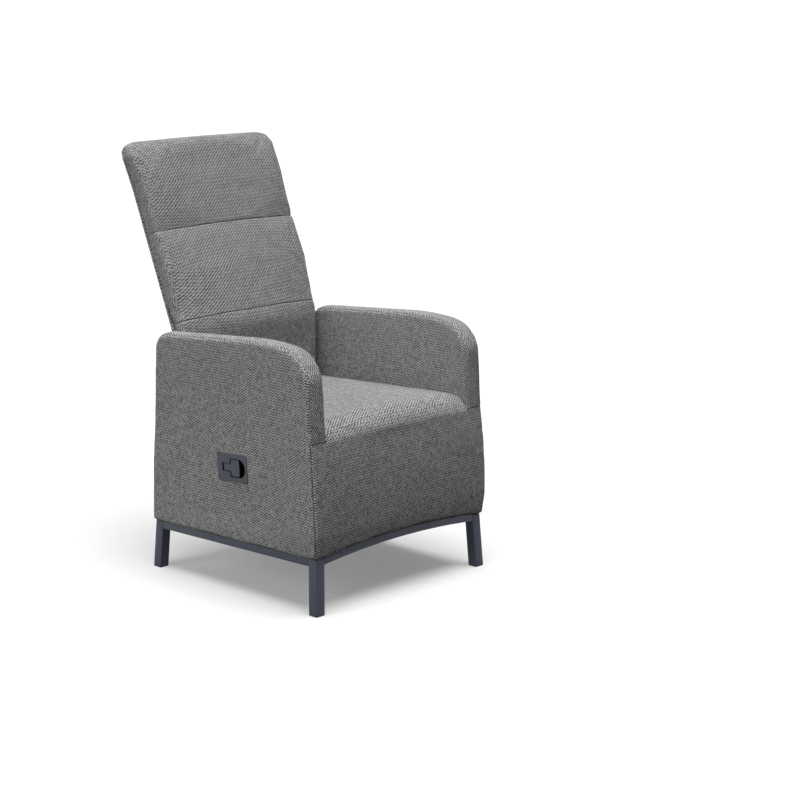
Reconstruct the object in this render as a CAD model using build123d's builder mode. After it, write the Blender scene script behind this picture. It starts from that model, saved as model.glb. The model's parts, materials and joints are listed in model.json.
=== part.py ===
from build123d import *
from math import cos, radians, sin, tan
import os

os.makedirs("parts", exist_ok=True)

# Clearances
gap = 0.3
soft_gap = 0.5
running_fit = 0.05
slip_fit = 0.3

# Base frame
frame_width = 600.0
frame_depth = 615.0
leg_tube = 28.0
tube_wall = 2.0
rail_height = 20.0
rail_top_front = 143.4
rail_fall = 16.0
front_arch = 18.7
leg_splay = 3.14
glide_height = 3.0
glide_plug = 16.0
glide_round = 2.0

# Upholstered body
side_overhang = 7.0
end_overhang = 6.0
body_lean = 3.2
arm_thickness = 53.5
side_tube = 28.0
side_tube_depth = 25.0
band_thickness = 12.0
band_crown = 3.0
panel_round = 5.0
seam_height = 433.7
rear_seam_drop = 29.7
arm_rise = 222.8
arm_fall = 4.35
arm_level_inset = 237.5
arm_shoulder_inset = 93.5
arm_shoulder_drop = 4.3
arm_front_drop = 75.0
arm_rear_radius = 48.0
apron_bulge = 8.0
apron_round = 9.0
rear_bulge = 4.0
pad_rim = 1.0
pad_lean_back = 6.2

# Seat
seat_tube = 25.0
seat_tube_drop = 46.7
seat_rear_inset = 69.5
seat_rail_gap = 6.0
seat_front_rise = 39.3
seat_rear_rise = 15.3
seat_crown = 12.0
seat_roll = 30.0
seat_edge_drop = 5.0
strap_width = 50.0
strap_thickness = 1.5
strap_count = 5
cross_strap_count = 4

# Backrest
back_side_gap = 8.5
back_rear_inset = 17.5
back_seat_gap = 1.0
back_bend_rise = 162.0
back_recline = 22.3
back_length = 506.0
back_cover = 8.0
back_tube = 20.0
back_rim = 12.0
back_top_depth = 50.0
back_edge_depth = 43.0
back_lumbar_depth = 72.0
back_bottom_depth = 58.0
back_low_edge = 37.0
back_bevel_side = 10.0
back_bevel_front = 4.0
back_bevel_rear = 8.0
back_corner = 34.0
seam_one = 268.0
seam_two = 37.0
channel_depth = 4.0
channel_width = 9.0
cover_rise = 28.0
lumbar_cross = 152.0
leg_rise = 58.0
low_cross_rise = 10.0

# Recline hinge
pivot_inset = 55.5
pivot_rise = 33.0
pivot_pin = 10.0
pivot_eye = 12.0
bush_wall = 2.0
bush_flange = 9.0
plate_thickness = 5.0
plate_weld = 30.0
flange_thickness = 2.0
nut_height = 6.0
nut_flats = 16.0
recline_travel = 28.0

# Gas spring
crank_radius = 90.0
gas_spring_length = 336.0
cylinder_diameter = 22.0
cylinder_length = 230.0
rod_diameter = 10.0
rod_overlap = 60.0
valve_diameter = 4.0
valve_reach = 4.0
eye_width = 16.0
eye_radius = 10.0
gas_pin = 8.0
fork_plate = 4.0
fork_half_width = 9.0
head_half_width = 8.0
head_half_height = 13.0
head_length = 28.0
tab_reach = 8.0
arm_pivot_reach = 5.0
arm_pivot_rise = 8.0
arm_slot_half = 2.4
arm_half_width = 4.0
arm_pin = 3.0

# Release lever and cable
lever_y = -12.0
lever_drop = 106.7
lever_tilt = 3.0
plate_length = 112.0
plate_height = 73.0
plate_proud = 2.0
plate_corner = 5.0
tub_depth = 31.0
tub_wall = 2.5
slot_height = 22.0
slot_rear = -37.0
pocket_rear = -8.0
pocket_straight = 25.0
pocket_height = 48.0
paddle_gap = 1.0
shoulder_gap = 1.0
paddle_sunk = 1.0
paddle_rear = -33.0
paddle_front = 24.0
paddle_thickness = 4.0
lever_axis_u = -28.0
lever_axis_depth = 6.5
lever_crank = 14.0
lever_pin_diameter = 3.0
lever_pin_grip = 4.0
barrel_radius = 3.6
spring_wire = 0.9
spring_radius = 2.9
spring_pitch = 1.4
spring_turns = 3
cable_diameter = 6.0
ferrule_diameter = 8.0
ferrule_length = 24.0
wire_diameter = 1.6
fork_prong = 3.0
fork_gap = 2.6
fork_depth = 5.0
wire_grip = 12.0
nipple_diameter = 4.0
cable_drop = 35.0
cable_lead = 46.0
cable_loop = 160.0
tab_thickness = 4.0

# Derived places
rail_slope = rail_fall / frame_depth
half_depth = frame_depth / 2
body_width = frame_width + 2 * side_overhang
body_depth = frame_depth + 2 * end_overhang
half_body = body_width / 2
inner_half = half_body - arm_thickness
panel_thickness = (arm_thickness - side_tube) / 2 - gap
frame_inner = half_body - panel_thickness - gap - side_tube
lean = tan(radians(body_lean))
back_sin = sin(radians(back_recline))
back_cos = cos(radians(back_recline))
rear_seam_height = seam_height - rear_seam_drop
arm_top = seam_height + arm_rise
seat_tube_top = seam_height - seat_tube_drop
pivot_z = seat_tube_top + pivot_rise
leg_bottom = seat_tube_top + leg_rise
lever_z = seam_height - lever_drop
arm_level_y = arm_level_inset - half_depth
arm_shoulder_y = arm_shoulder_inset - half_depth
seat_rear_y = half_depth - seat_rear_inset
seat_front_top = seam_height + seat_front_rise
seat_rear_top = seam_height + seat_rear_rise
pivot_y = half_depth - pivot_inset
back_rear_y = half_depth - back_rear_inset
back_half_width = inner_half - back_side_gap
back_bottom = seat_rear_top + seat_crown + back_seat_gap
back_bend_z = back_bottom + back_bend_rise
back_top_rear = back_rear_y + back_length * back_sin
pad_front = body_depth / 2 + apron_bulge + pad_rim - pad_lean_back
base_y = -(back_top_rear - pad_front) / 2


def rail_top(y):
    """Height of the base rails' top at a distance y behind the middle of the base."""
    return rail_top_front - rail_slope * (y + half_depth)


def body_half(z):
    """Half depth of the body at a height, as it narrows upwards."""
    return body_depth / 2 - (z - rail_top_front) * lean


def arm_height(y):
    """Height of the straight part of the arm's top."""
    return arm_top - y * tan(radians(arm_fall))


def side_plane(x):
    """Plane across the chair: local x is the distance behind the base middle, local y the height."""
    return Plane(origin=(x, base_y, 0), x_dir=(0, 1, 0), z_dir=(1, 0, 0))


def front_plane(y):
    """Upright plane facing the front: local x runs across the chair, local y is the height."""
    return Plane(origin=(0, base_y + y, 0), x_dir=(1, 0, 0), z_dir=(0, -1, 0))


def level_plane(z):
    """Level plane with its origin over the middle of the base."""
    return Plane(origin=(0, base_y, z))


def back_plane(s):
    """Plane square to the backrest's rear face, s along it from the bend, the bend's own halved."""
    turn = 0 if s < 0 else back_recline
    turn = back_recline / 2 if s == 0 else turn
    across = back_rear_y + max(s, 0) * back_sin
    up = back_bend_z + (s if s < 0 else s * back_cos)
    along = (0, sin(radians(turn)), cos(radians(turn)))
    return Plane(origin=(0, base_y + across, up), x_dir=(1, 0, 0), z_dir=along)


def finish(builder, label):
    """Name a piece and write it."""
    builder.part.label = label
    export_step(builder.part, f"parts/{label}.step")


def mirrored(builder):
    """The same piece on the other side of the chair."""
    with BuildPart() as other:
        add(builder.part)
        mirror(about=Plane.YZ, mode=Mode.REPLACE)
    return other


# Base frame
def corner_height(front):
    """Height of the rails' top at the front or rear corners."""
    return rail_top(-half_depth) if front else rail_top(half_depth)


def leg_shift(front, z):
    """How far a leg has leaned outwards at a height."""
    return (corner_height(front) - z) * tan(radians(leg_splay))


def leg_center(front, z):
    """Centre of a leg's section at a height, on the +X side, measured from the base middle."""
    x = frame_width / 2 - leg_tube / 2 + leg_shift(front, z)
    y = half_depth - leg_tube / 2 + leg_shift(front, z)
    return (x, -y if front else y)


def leg_prism(front, low, high, size):
    """Sloping square prism of a leg between two heights."""
    ends = []
    for z in (low, high):
        with BuildSketch(level_plane(z)) as square:
            with Locations(leg_center(front, z)):
                Rectangle(size, size)
        ends.append(square.sketch)
    loft(ends, ruled=True)


def make_leg(front):
    """Leg of square tube, cut along the rails' slope at its top."""
    corner_z = corner_height(front)
    top_plane = Plane(
        origin=(0, base_y, rail_top(0)),
        x_dir=(1, 0, 0),
        z_dir=(0, rail_slope, 1),
    )
    with BuildPart() as bore:
        leg_prism(front, glide_height - 1, corner_z - tube_wall, leg_tube - 2 * tube_wall)
    with BuildPart() as leg:
        leg_prism(front, glide_height, corner_z + leg_tube, leg_tube)
        split(bisect_by=top_plane, keep=Keep.BOTTOM)
        add(bore.part, mode=Mode.SUBTRACT)
    return leg


for place, at_front in (("front", True), ("rear", False)):
    left_leg = make_leg(at_front)
    finish(left_leg, f"leg_{place}_left")
    finish(mirrored(left_leg), f"leg_{place}_right")

# Plastic glides: a pad under each leg and a plug inside its tube
with BuildPart() as glides:
    for at_front in (True, False):
        with BuildSketch(level_plane(0)):
            with Locations(leg_center(at_front, 0)):
                RectangleRounded(leg_tube, leg_tube, glide_round)
        extrude(amount=glide_height)
        plug = leg_tube - 2 * (tube_wall + running_fit)
        leg_prism(at_front, glide_height - gap, glide_height + glide_plug, plug)
    mirror(about=Plane.YZ)
finish(glides, "glides")


def rail_end(front, depth):
    """Distance from the base middle at which a line below the rails' top meets a leg."""
    lean_rate = tan(radians(leg_splay))
    slope = rail_slope if front else -rail_slope
    reach = half_depth - leg_tube + lean_rate * (slope * half_depth + depth)
    return reach / (1 + lean_rate * slope)


def side_rail_face(inset):
    """Side view of a base side rail, whose ends meet the legs' sloping faces."""
    outline = []
    for depth, order in ((inset, (-1, 1)), (rail_height - inset, (1, -1))):
        for side in order:
            y = side * rail_end(side < 0, depth)
            outline.append((y, rail_top(y) - depth))
    Polygon(outline)


with BuildPart() as base_rail_left:
    with BuildSketch(side_plane(frame_width / 2 - leg_tube)):
        side_rail_face(0)
    extrude(amount=leg_tube)
    with BuildSketch(side_plane(frame_width / 2 - leg_tube + tube_wall)):
        side_rail_face(tube_wall)
    extrude(amount=leg_tube - 2 * tube_wall, mode=Mode.SUBTRACT)
finish(base_rail_left, "base_rail_left")
finish(mirrored(base_rail_left), "base_rail_right")


def arch_band(low, high, arch, half):
    """Face between two arcs that rise in the middle of the chair."""
    with BuildLine() as outline:
        upper = ThreePointArc((-half, high), (0, high + arch), (half, high))
        Line(upper @ 1, (half, low))
        ThreePointArc((half, low), (0, low + arch), (-half, low))
        Line((-half, low), upper @ 0)
    make_face(outline.edges())


def leg_gap(front):
    """Space taken by the legs and all outside them, seen from the front, on both sides."""
    z = corner_height(front)
    inner = frame_width / 2 - leg_tube
    low = (inner + leg_shift(front, 0), 0)
    high = (inner + leg_shift(front, 2 * z), 2 * z)
    for side in (1, -1):
        corners = [low, (frame_width, 0), (frame_width, 2 * z), high]
        Polygon([(side * x, y) for x, y in corners], mode=Mode.SUBTRACT)


def cross_rail_face(front, inset):
    """Front view of a cross rail of the base, arched in front and straight behind."""
    low = corner_height(front) - rail_height + inset
    high = corner_height(front) - inset
    half = frame_width / 2
    if front:
        arch_band(low, high, front_arch, half)
    else:
        Polygon((-half, low), (half, low), (half, high), (-half, high))
    leg_gap(front)


rail_drift = rail_height * tan(radians(leg_splay))


def make_cross_rail(front):
    """Front or rear rail of the base, between the legs and clear of the side rails' ends."""
    edge = -half_depth if front else half_depth - leg_tube + rail_drift
    depth = leg_tube - rail_drift
    with BuildPart() as rail:
        with BuildSketch(front_plane(edge)):
            cross_rail_face(front, 0)
        extrude(amount=-depth)
        with BuildSketch(front_plane(edge + tube_wall)):
            cross_rail_face(front, tube_wall)
        extrude(amount=-(depth - 2 * tube_wall), mode=Mode.SUBTRACT)
    return rail


finish(make_cross_rail(True), "base_rail_front")
finish(make_cross_rail(False), "base_rail_rear")


def arch_space(lift):
    """Solid below the arched front rail's top, from which what stands on it is cut."""
    top = corner_height(True) + lift
    with BuildPart(mode=Mode.PRIVATE) as space:
        with BuildSketch(front_plane(-half_depth - leg_tube)):
            arch_band(0, top, front_arch, frame_width / 2)
        extrude(amount=-2 * leg_tube)
    return space.part


# Sides and arms
def arm_outline(inset):
    """Side view of the body and its arm, drawn in by an inset and open below to the floor."""
    front_foot = body_half(0)
    front_end = arm_height(arm_level_y) - arm_shoulder_drop - arm_front_drop
    rear_corner = (body_half(arm_height(body_half(arm_top))), arm_height(body_half(arm_top)))
    with BuildLine() as outline:
        level = Line(rear_corner, (arm_level_y, arm_height(arm_level_y)))
        shoulder = (arm_shoulder_y, arm_height(arm_level_y) - arm_shoulder_drop)
        brow = TangentArc(level @ 1, shoulder, tangent=level % 1)
        nose = TangentArc(brow @ 1, (-body_half(front_end), front_end), tangent=brow % 1)
        Line(nose @ 1, (-front_foot, 0))
        Line((-front_foot, 0), (front_foot, 0))
        Line((front_foot, 0), rear_corner)
    make_face(outline.edges())
    rear_vertex = vertices().sort_by_distance(rear_corner)[0]
    fillet(rear_vertex, arm_rear_radius)
    if inset > 0:
        offset(amount=-inset, kind=Kind.INTERSECTION, mode=Mode.REPLACE)
    if inset < 0:
        offset(amount=-inset, kind=Kind.ARC, mode=Mode.REPLACE)


def below(y_low, y_high, height):
    """Face under a height between two distances, to cut a side outline with."""
    Polygon((y_low, -20), (y_high, -20), (y_high, height), (y_low, height), mode=Mode.SUBTRACT)


def under_rails(lift):
    """Face under the base rails' top line, to cut a side outline with."""
    reach = body_depth
    Polygon(
        (-reach, -20),
        (reach, -20),
        (reach, rail_top(reach) + lift),
        (-reach, rail_top(-reach) + lift),
        mode=Mode.SUBTRACT,
    )


lever_plane = Plane(
    origin=(-half_body, base_y + lever_y, lever_z),
    x_dir=(0, -cos(radians(lever_tilt)), sin(radians(lever_tilt))),
    z_dir=(-1, 0, 0),
)
tub_front = pocket_straight + pocket_height / 2 + tub_wall
tub_rear = slot_rear - tub_wall


def tub_outline(grow):
    """Outline of the lever housing's tub."""
    with Locations(((tub_front + tub_rear) / 2, 0)):
        RectangleRounded(
            tub_front - tub_rear + 2 * grow,
            pocket_height + 2 * tub_wall + 2 * grow,
            plate_corner,
        )


def make_outer_panel(with_lever):
    """Outer side pad, whose cut edges meet the apron in front and the rear panel behind."""
    with BuildPart() as panel:
        with BuildSketch(side_plane(half_body - panel_thickness)):
            arm_outline(0)
            inner = body_half(seam_height) - band_thickness - gap
            under_rails(gap)
            Polygon(
                (-body_depth, 0),
                (-body_half(0) + band_thickness + gap, 0),
                (-inner, seam_height + gap),
                (-body_depth, seam_height + gap),
                mode=Mode.SUBTRACT,
            )
            rear_inner = body_half(rear_seam_height) - band_thickness - gap
            Polygon(
                (body_depth, 0),
                (body_half(0) - band_thickness - gap, 0),
                (rear_inner, rear_seam_height + gap),
                (body_depth, rear_seam_height + gap),
                mode=Mode.SUBTRACT,
            )
        extrude(amount=panel_thickness)
        add(arch_space(gap), mode=Mode.SUBTRACT)
        outer_face = faces().sort_by(Axis.X)[-1]
        top_edges = outer_face.edges().filter_by(lambda e: e.center().Z > seam_height + 40)
        fillet(top_edges, panel_round)
        if with_lever:
            mirror(about=Plane.YZ, mode=Mode.REPLACE)
            with BuildSketch(lever_plane):
                tub_outline(soft_gap)
            extrude(amount=panel_thickness + 1, both=True, mode=Mode.SUBTRACT)
    return panel


finish(make_outer_panel(False), "side_panel_left")
finish(make_outer_panel(True), "side_panel_right")

panel_bottom = seat_tube_top + 3.0
with BuildPart() as arm_inner_panel_left:
    with BuildSketch(side_plane(inner_half)):
        arm_outline(0)
        below(-body_depth, body_depth, panel_bottom)
        below(-body_depth, -body_half(seam_height) + band_thickness + gap, seam_height + gap)
        rear_cut = body_half(rear_seam_height) - band_thickness - gap
        below(rear_cut, body_depth, rear_seam_height + gap)
    extrude(amount=panel_thickness)
    inner_face = faces().sort_by(Axis.X)[0]
    high_edges = inner_face.edges().filter_by(lambda e: e.center().Z > seam_height + 40)
    fillet(high_edges, panel_round)
finish(arm_inner_panel_left, "arm_inner_panel_left")
finish(mirrored(arm_inner_panel_left), "arm_inner_panel_right")

with BuildPart() as arm_band_left:
    with BuildSketch(side_plane(frame_inner)):
        arm_outline(-band_crown)
        with BuildSketch(mode=Mode.PRIVATE) as hollow:
            arm_outline(band_thickness)
        add(hollow.sketch, mode=Mode.SUBTRACT)
        below(-body_depth, 0, seam_height + gap)
        below(0, body_depth, rear_seam_height + gap)
    extrude(amount=side_tube)
finish(arm_band_left, "arm_band_left")
finish(mirrored(arm_band_left), "arm_band_right")

with BuildPart() as side_frame_left:
    with BuildSketch(side_plane(frame_inner)):
        arm_outline(band_thickness + gap)
        with BuildSketch(mode=Mode.PRIVATE) as hollow:
            arm_outline(band_thickness + gap + side_tube_depth)
        add(hollow.sketch, mode=Mode.SUBTRACT)
        under_rails(0)
    extrude(amount=side_tube)
    with BuildSketch(side_plane(frame_inner + tube_wall)):
        arm_outline(band_thickness + gap + tube_wall)
        with BuildSketch(mode=Mode.PRIVATE) as hollow:
            arm_outline(band_thickness + gap + side_tube_depth - tube_wall)
        add(hollow.sketch, mode=Mode.SUBTRACT)
        under_rails(-1)
    extrude(amount=side_tube - 2 * tube_wall, mode=Mode.SUBTRACT)
    add(arch_space(0), mode=Mode.SUBTRACT)
finish(side_frame_left, "side_frame_left")
finish(mirrored(side_frame_left), "side_frame_right")


# Apron and rear panel
def end_pad(front, top, bulge):
    """Full-width pad that closes the body in front or behind, bulging between its edges."""
    sign = -1 if front else 1
    low = corner_height(front) + gap
    middle = (low + top) / 2
    with BuildPart() as pad:
        with BuildSketch(side_plane(-half_body)):
            with BuildLine():
                outer_low = (sign * (body_half(low) + pad_rim), low)
                outer_mid = (sign * (body_half(middle) + bulge + pad_rim), middle)
                outer_top = (sign * (body_half(top) + pad_rim), top)
                inner_top = (sign * (body_half(top) - band_thickness), top)
                inner_low = (sign * (body_half(low) - band_thickness), low)
                ThreePointArc(outer_low, outer_mid, outer_top)
                Polyline(outer_top, inner_top, inner_low, outer_low)
            make_face()
        extrude(amount=body_width)
        upright = edges().filter_by(
            lambda e: abs(abs(e.center().X) - half_body) < 0.01
            and abs(e.center().Y - base_y) > body_half(middle) + 2
        )
        fillet(upright, apron_round)
        if front:
            with BuildSketch(front_plane(-body_depth)):
                arch_band(low - 3 * rail_height, low, front_arch, frame_width / 2)
            extrude(amount=-body_depth, mode=Mode.SUBTRACT)
    return pad


finish(end_pad(True, seam_height, apron_bulge), "front_apron")
finish(end_pad(False, rear_seam_height, rear_bulge), "rear_panel")

# Seat frame
seat_tube_low = seat_tube_top - seat_tube
front_inner = body_half(seat_tube_top) - band_thickness - gap
front_rail_y = -front_inner + gap + side_tube_depth
rear_rail_y = seat_rear_y - seat_rail_gap - seat_tube


def square_tube_x(y, half):
    """Square tube across the chair, with its front face at y and its top at the seat frame's."""
    with BuildPart() as tube:
        with BuildSketch(side_plane(-half)):
            with Locations((y + seat_tube / 2, seat_tube_top - seat_tube / 2)):
                Rectangle(seat_tube, seat_tube)
                Rectangle(
                    seat_tube - 2 * tube_wall,
                    seat_tube - 2 * tube_wall,
                    mode=Mode.SUBTRACT,
                )
        extrude(amount=2 * half)
    return tube


head_y = pivot_y + crank_radius * sin(radians(recline_travel / 2)) - gas_spring_length
mid_rail_y = head_y - seat_tube / 2
seat_rail_front = square_tube_x(front_rail_y, frame_inner)
seat_rail_middle = square_tube_x(mid_rail_y, frame_inner)
seat_rail_rear = square_tube_x(rear_rail_y, frame_inner)
finish(seat_rail_front, "seat_rail_front")
finish(seat_rail_middle, "seat_rail_middle")
finish(seat_rail_rear, "seat_rail_rear")

with BuildPart() as seat_rail_left:
    side_reach = front_inner - side_tube_depth / 2
    with BuildSketch(front_plane(-side_reach)):
        with Locations((frame_inner + side_tube / 2, seat_tube_top - seat_tube / 2)):
            Rectangle(side_tube, seat_tube)
            Rectangle(
                side_tube - 2 * tube_wall,
                seat_tube - 2 * tube_wall,
                mode=Mode.SUBTRACT,
            )
    extrude(amount=-2 * side_reach)
    with BuildPart(mode=Mode.PRIVATE) as post_space:
        with BuildSketch(side_plane(frame_inner - 1)):
            arm_outline(band_thickness + gap)
            with BuildSketch(mode=Mode.PRIVATE) as hollow:
                arm_outline(band_thickness + gap + side_tube_depth)
            add(hollow.sketch, mode=Mode.SUBTRACT)
        extrude(amount=side_tube + 2)
    add(post_space.part, mode=Mode.SUBTRACT)
finish(seat_rail_left, "seat_rail_left")
finish(mirrored(seat_rail_left), "seat_rail_right")

strap_span = rear_rail_y + seat_tube - front_rail_y
strap_middle = (rear_rail_y + seat_tube + front_rail_y) / 2
with BuildPart() as seat_webbing:
    with BuildSketch(level_plane(seat_tube_top)):
        with Locations((0, strap_middle)):
            with GridLocations(2 * frame_inner / (strap_count + 0.6), 0, strap_count, 1):
                Rectangle(strap_width, strap_span)
    extrude(amount=strap_thickness)
    with BuildSketch(level_plane(seat_tube_top + strap_thickness)):
        with Locations((0, strap_middle)):
            with GridLocations(0, strap_span / (cross_strap_count + 0.6), 1, cross_strap_count):
                Rectangle(2 * inner_half - 4, strap_width)
    extrude(amount=strap_thickness)
finish(seat_webbing, "seat_webbing")

# Seat cushion
cushion_bottom = seat_tube_top + 2 * strap_thickness + gap
cushion_half = inner_half - soft_gap
cushion_lip = body_half(seam_height) + 5


def seat_section(x, crown):
    """Side view of the seat cushion: a step over the apron, the front roll and the falling top."""
    step_y = -(body_half(seam_height) - band_thickness - 2 * gap)
    lip_z = seam_height + gap
    front_top = (-cushion_lip + seat_roll, seat_front_top + crown)
    with BuildSketch(side_plane(x)) as section:
        with BuildLine():
            top = Line((seat_rear_y, seat_rear_top + crown), front_top)
            roll = TangentArc(top @ 1, (-cushion_lip, seat_front_top - seat_roll), tangent=top % 1)
            Polyline(
                roll @ 1,
                (-cushion_lip, lip_z),
                (step_y, lip_z),
                (step_y, cushion_bottom),
                (seat_rear_y, cushion_bottom),
                top @ 0,
            )
        make_face()
    return section.sketch


with BuildPart() as seat_cushion:
    slices = []
    for part_of_half in (-1, -0.94, -0.6, 0, 0.6, 0.94, 1):
        share = 1 - abs(part_of_half) ** 2
        edge_drop = seat_edge_drop if abs(part_of_half) == 1 else 0
        slices.append(seat_section(part_of_half * cushion_half, seat_crown * share - edge_drop))
    loft(slices, ruled=True)
finish(seat_cushion, "seat_cushion")


# Backrest
def back_depth(s):
    """Depth of the backrest's middle in front of its rear face, s along it from the bend."""
    if s < 0:
        share = -s / (back_bend_z - back_bottom)
        return back_lumbar_depth - (back_lumbar_depth - back_bottom_depth) * share**2
    share = s / back_length
    return back_lumbar_depth - (back_lumbar_depth - back_top_depth) * (2 * share - share**2)


def edge_depth(s):
    """Depth of the backrest at its two edges."""
    if s < 0:
        return back_low_edge
    return back_edge_depth - 6 * s / back_length


def back_section(s, dip, narrow):
    """Section of the backrest: flat behind, crowned in front, with rounded edges."""
    half = back_half_width - narrow
    edge = edge_depth(s) - dip
    middle = back_depth(s) - dip
    front_x = half - back_bevel_side
    front_y = -edge - back_bevel_front
    side_y = -edge + back_bevel_rear
    with BuildSketch(back_plane(s)) as section:
        with BuildLine():
            ThreePointArc((-front_x, front_y), (0, -middle), (front_x, front_y))
            Polyline(
                (front_x, front_y),
                (half, side_y),
                (half, -back_cover),
                (-half, -back_cover),
                (-half, side_y),
                (-front_x, front_y),
            )
        make_face()
    return section.sketch


def back_stations():
    """Places along the backrest where its section is drawn, with the channel's dip at each."""
    low = back_bottom - back_bend_z
    yield low, 12, 6
    yield low + 14, 0, 0
    yield 0, 0, 0
    for seam in (seam_two, seam_one):
        yield seam - channel_width, 0, 0
        yield seam, channel_depth, 0
        yield seam + channel_width, 0, 0
        if seam == seam_two:
            yield (seam_one + seam_two) / 2, -3, 0
    yield (seam_one + back_length) / 2, -3, 0
    yield back_length - back_corner, 2, 0
    yield back_length - back_corner / 3, 6, back_corner * 0.25
    yield back_length, 14, back_corner * 0.75


tube_low = -back_cover - gap - back_tube
frame_half = back_half_width - back_rim
pocket_top = back_length - back_rim - 6
frame_top = pocket_top - gap


def back_side_profile(low_v, high_v, top_s, bottom_z):
    """Side view of a strip that follows the backrest's bend between two depths."""
    bend = tan(radians(back_recline / 2))

    def place(s, v):
        if s == 0:
            return (back_rear_y + v, back_bend_z - v * bend)
        return (
            back_rear_y + s * back_sin + v * back_cos,
            back_bend_z + s * back_cos - v * back_sin,
        )

    Polygon(
        (back_rear_y + low_v, bottom_z),
        place(0, low_v),
        place(top_s, low_v),
        place(top_s, high_v),
        place(0, high_v),
        (back_rear_y + high_v, bottom_z),
    )


with BuildPart() as back_cushion:
    loft([back_section(*station) for station in back_stations()], ruled=True)
    with BuildSketch(side_plane(-frame_half - gap)):
        back_side_profile(tube_low - gap, 0, pocket_top, back_bottom - 20)
    extrude(amount=2 * (frame_half + gap), mode=Mode.SUBTRACT)
    plate_room = frame_half + plate_thickness + gap
    with BuildSketch(side_plane(-plate_room)):
        with Locations((back_rear_y, leg_bottom)):
            Rectangle(-2 * tube_low + 2 * gap, 2 * (plate_weld + gap))
    extrude(amount=2 * plate_room, mode=Mode.SUBTRACT)
finish(back_cushion, "back_cushion")

with BuildPart() as back_rear_cover:
    with BuildSketch(side_plane(-back_half_width)):
        back_side_profile(-back_cover + gap, 0, back_length, rear_seam_height + cover_rise)
    extrude(amount=2 * back_half_width)
    corners = edges().filter_by(lambda e: e.center().Z > back_bend_z + back_length * back_cos - 8)
    corners = corners.filter_by(lambda e: abs(abs(e.center().X) - back_half_width) < 0.01)
    fillet(corners, back_corner)
finish(back_rear_cover, "back_rear_cover")

with BuildPart() as back_frame_left:
    with BuildSketch(side_plane(frame_half - back_tube)):
        back_side_profile(tube_low, tube_low + back_tube, frame_top, leg_bottom)
    extrude(amount=back_tube)
    with BuildSketch(side_plane(frame_half - back_tube + tube_wall)):
        back_side_profile(
            tube_low + tube_wall,
            tube_low + back_tube - tube_wall,
            frame_top - tube_wall,
            leg_bottom - 1,
        )
    extrude(amount=back_tube - 2 * tube_wall, mode=Mode.SUBTRACT)
finish(back_frame_left, "back_frame_left")
finish(mirrored(back_frame_left), "back_frame_right")

cross_half = frame_half - back_tube


def cross_tube(s):
    """Cross tube between the two uprights of the back frame, from a place along it."""
    for inset, how in ((0, Mode.ADD), (tube_wall, Mode.SUBTRACT)):
        size = back_tube - 2 * inset
        start = back_plane(s).from_local_coords((0, 0, inset))
        place = Plane(origin=start, x_dir=(1, 0, 0), z_dir=back_plane(s).z_dir)
        with BuildSketch(place) as section:
            with Locations((0, tube_low + back_tube / 2)):
                Rectangle(2 * cross_half, size)
        extrude(section.sketch, amount=size, mode=how)


low_cross = leg_bottom + low_cross_rise - back_bend_z
with BuildPart() as back_cross_lower:
    cross_tube(low_cross)
finish(back_cross_lower, "back_cross_lower")

with BuildPart() as back_cross_tubes:
    cross_tube(lumbar_cross)
    cross_tube(frame_top - back_tube)
finish(back_cross_tubes, "back_cross_tubes")

with BuildPart() as back_webbing:
    strap_run = frame_top - 2 * back_tube
    for step in range(strap_count):
        station = 2 * back_tube + strap_run * step / strap_count
        face_plane = Plane(
            origin=back_plane(station).from_local_coords((0, tube_low, 0)),
            x_dir=(1, 0, 0),
            z_dir=(0, -back_cos, back_sin),
        )
        with BuildSketch(face_plane):
            Rectangle(2 * frame_half, strap_width)
        extrude(amount=gap / 2)
finish(back_webbing, "back_webbing")

# Recline hinge
plate_x = frame_half
bush_x = plate_x + plate_thickness + gap
bracket_x = bush_x + flange_thickness

with BuildPart() as hinge_plates:
    with BuildSketch(side_plane(plate_x)) as plate_side:
        leg_front = back_rear_y + tube_low
        Polygon(
            (leg_front, leg_bottom + plate_weld),
            (leg_front + back_tube, leg_bottom + plate_weld),
            (leg_front + back_tube, leg_bottom),
            (pivot_y + pivot_eye, pivot_z),
            (pivot_y - pivot_eye, pivot_z),
            (leg_front, leg_bottom),
        )
        with Locations((pivot_y, pivot_z)):
            Circle(pivot_eye)
            Circle(pivot_pin / 2, mode=Mode.SUBTRACT)
    extrude(amount=plate_thickness)
    mirror(about=Plane.YZ)
finish(hinge_plates, "hinge_plates")

with BuildPart() as hinge_bracket_left:
    rail_rear = rear_rail_y + seat_tube
    bush_hole = pivot_pin / 2 + running_fit + bush_wall
    with BuildSketch(side_plane(bracket_x)):
        Polygon(
            (rail_rear, seat_tube_low),
            (rail_rear, seat_tube_top),
            (pivot_y - pivot_eye, seat_tube_top),
            (pivot_y - pivot_eye, pivot_z),
            (pivot_y + pivot_eye, pivot_z),
            (pivot_y + pivot_eye, seat_tube_top),
            (rail_rear + seat_tube, seat_tube_low),
        )
        with Locations((pivot_y, pivot_z)):
            Circle(pivot_eye)
            Circle(bush_hole, mode=Mode.SUBTRACT)
    extrude(amount=plate_thickness)
finish(hinge_bracket_left, "hinge_bracket_left")
finish(mirrored(hinge_bracket_left), "hinge_bracket_right")


def disc(plane_x, radius, amount, mode=Mode.ADD):
    """Disc round the recline axis, from a distance across the chair."""
    with BuildSketch(side_plane(plane_x)) as round_face:
        with Locations((pivot_y, pivot_z)):
            Circle(radius)
    extrude(round_face.sketch, amount=amount, mode=mode)


pin_end = bracket_x + plate_thickness + nut_height + 0.5
with BuildPart() as hinge_pins:
    disc(plate_x - 6, nut_flats / 2, 6)
    disc(plate_x, pivot_pin / 2, pin_end - plate_x)
    mirror(about=Plane.YZ)
finish(hinge_pins, "hinge_pins")

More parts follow.
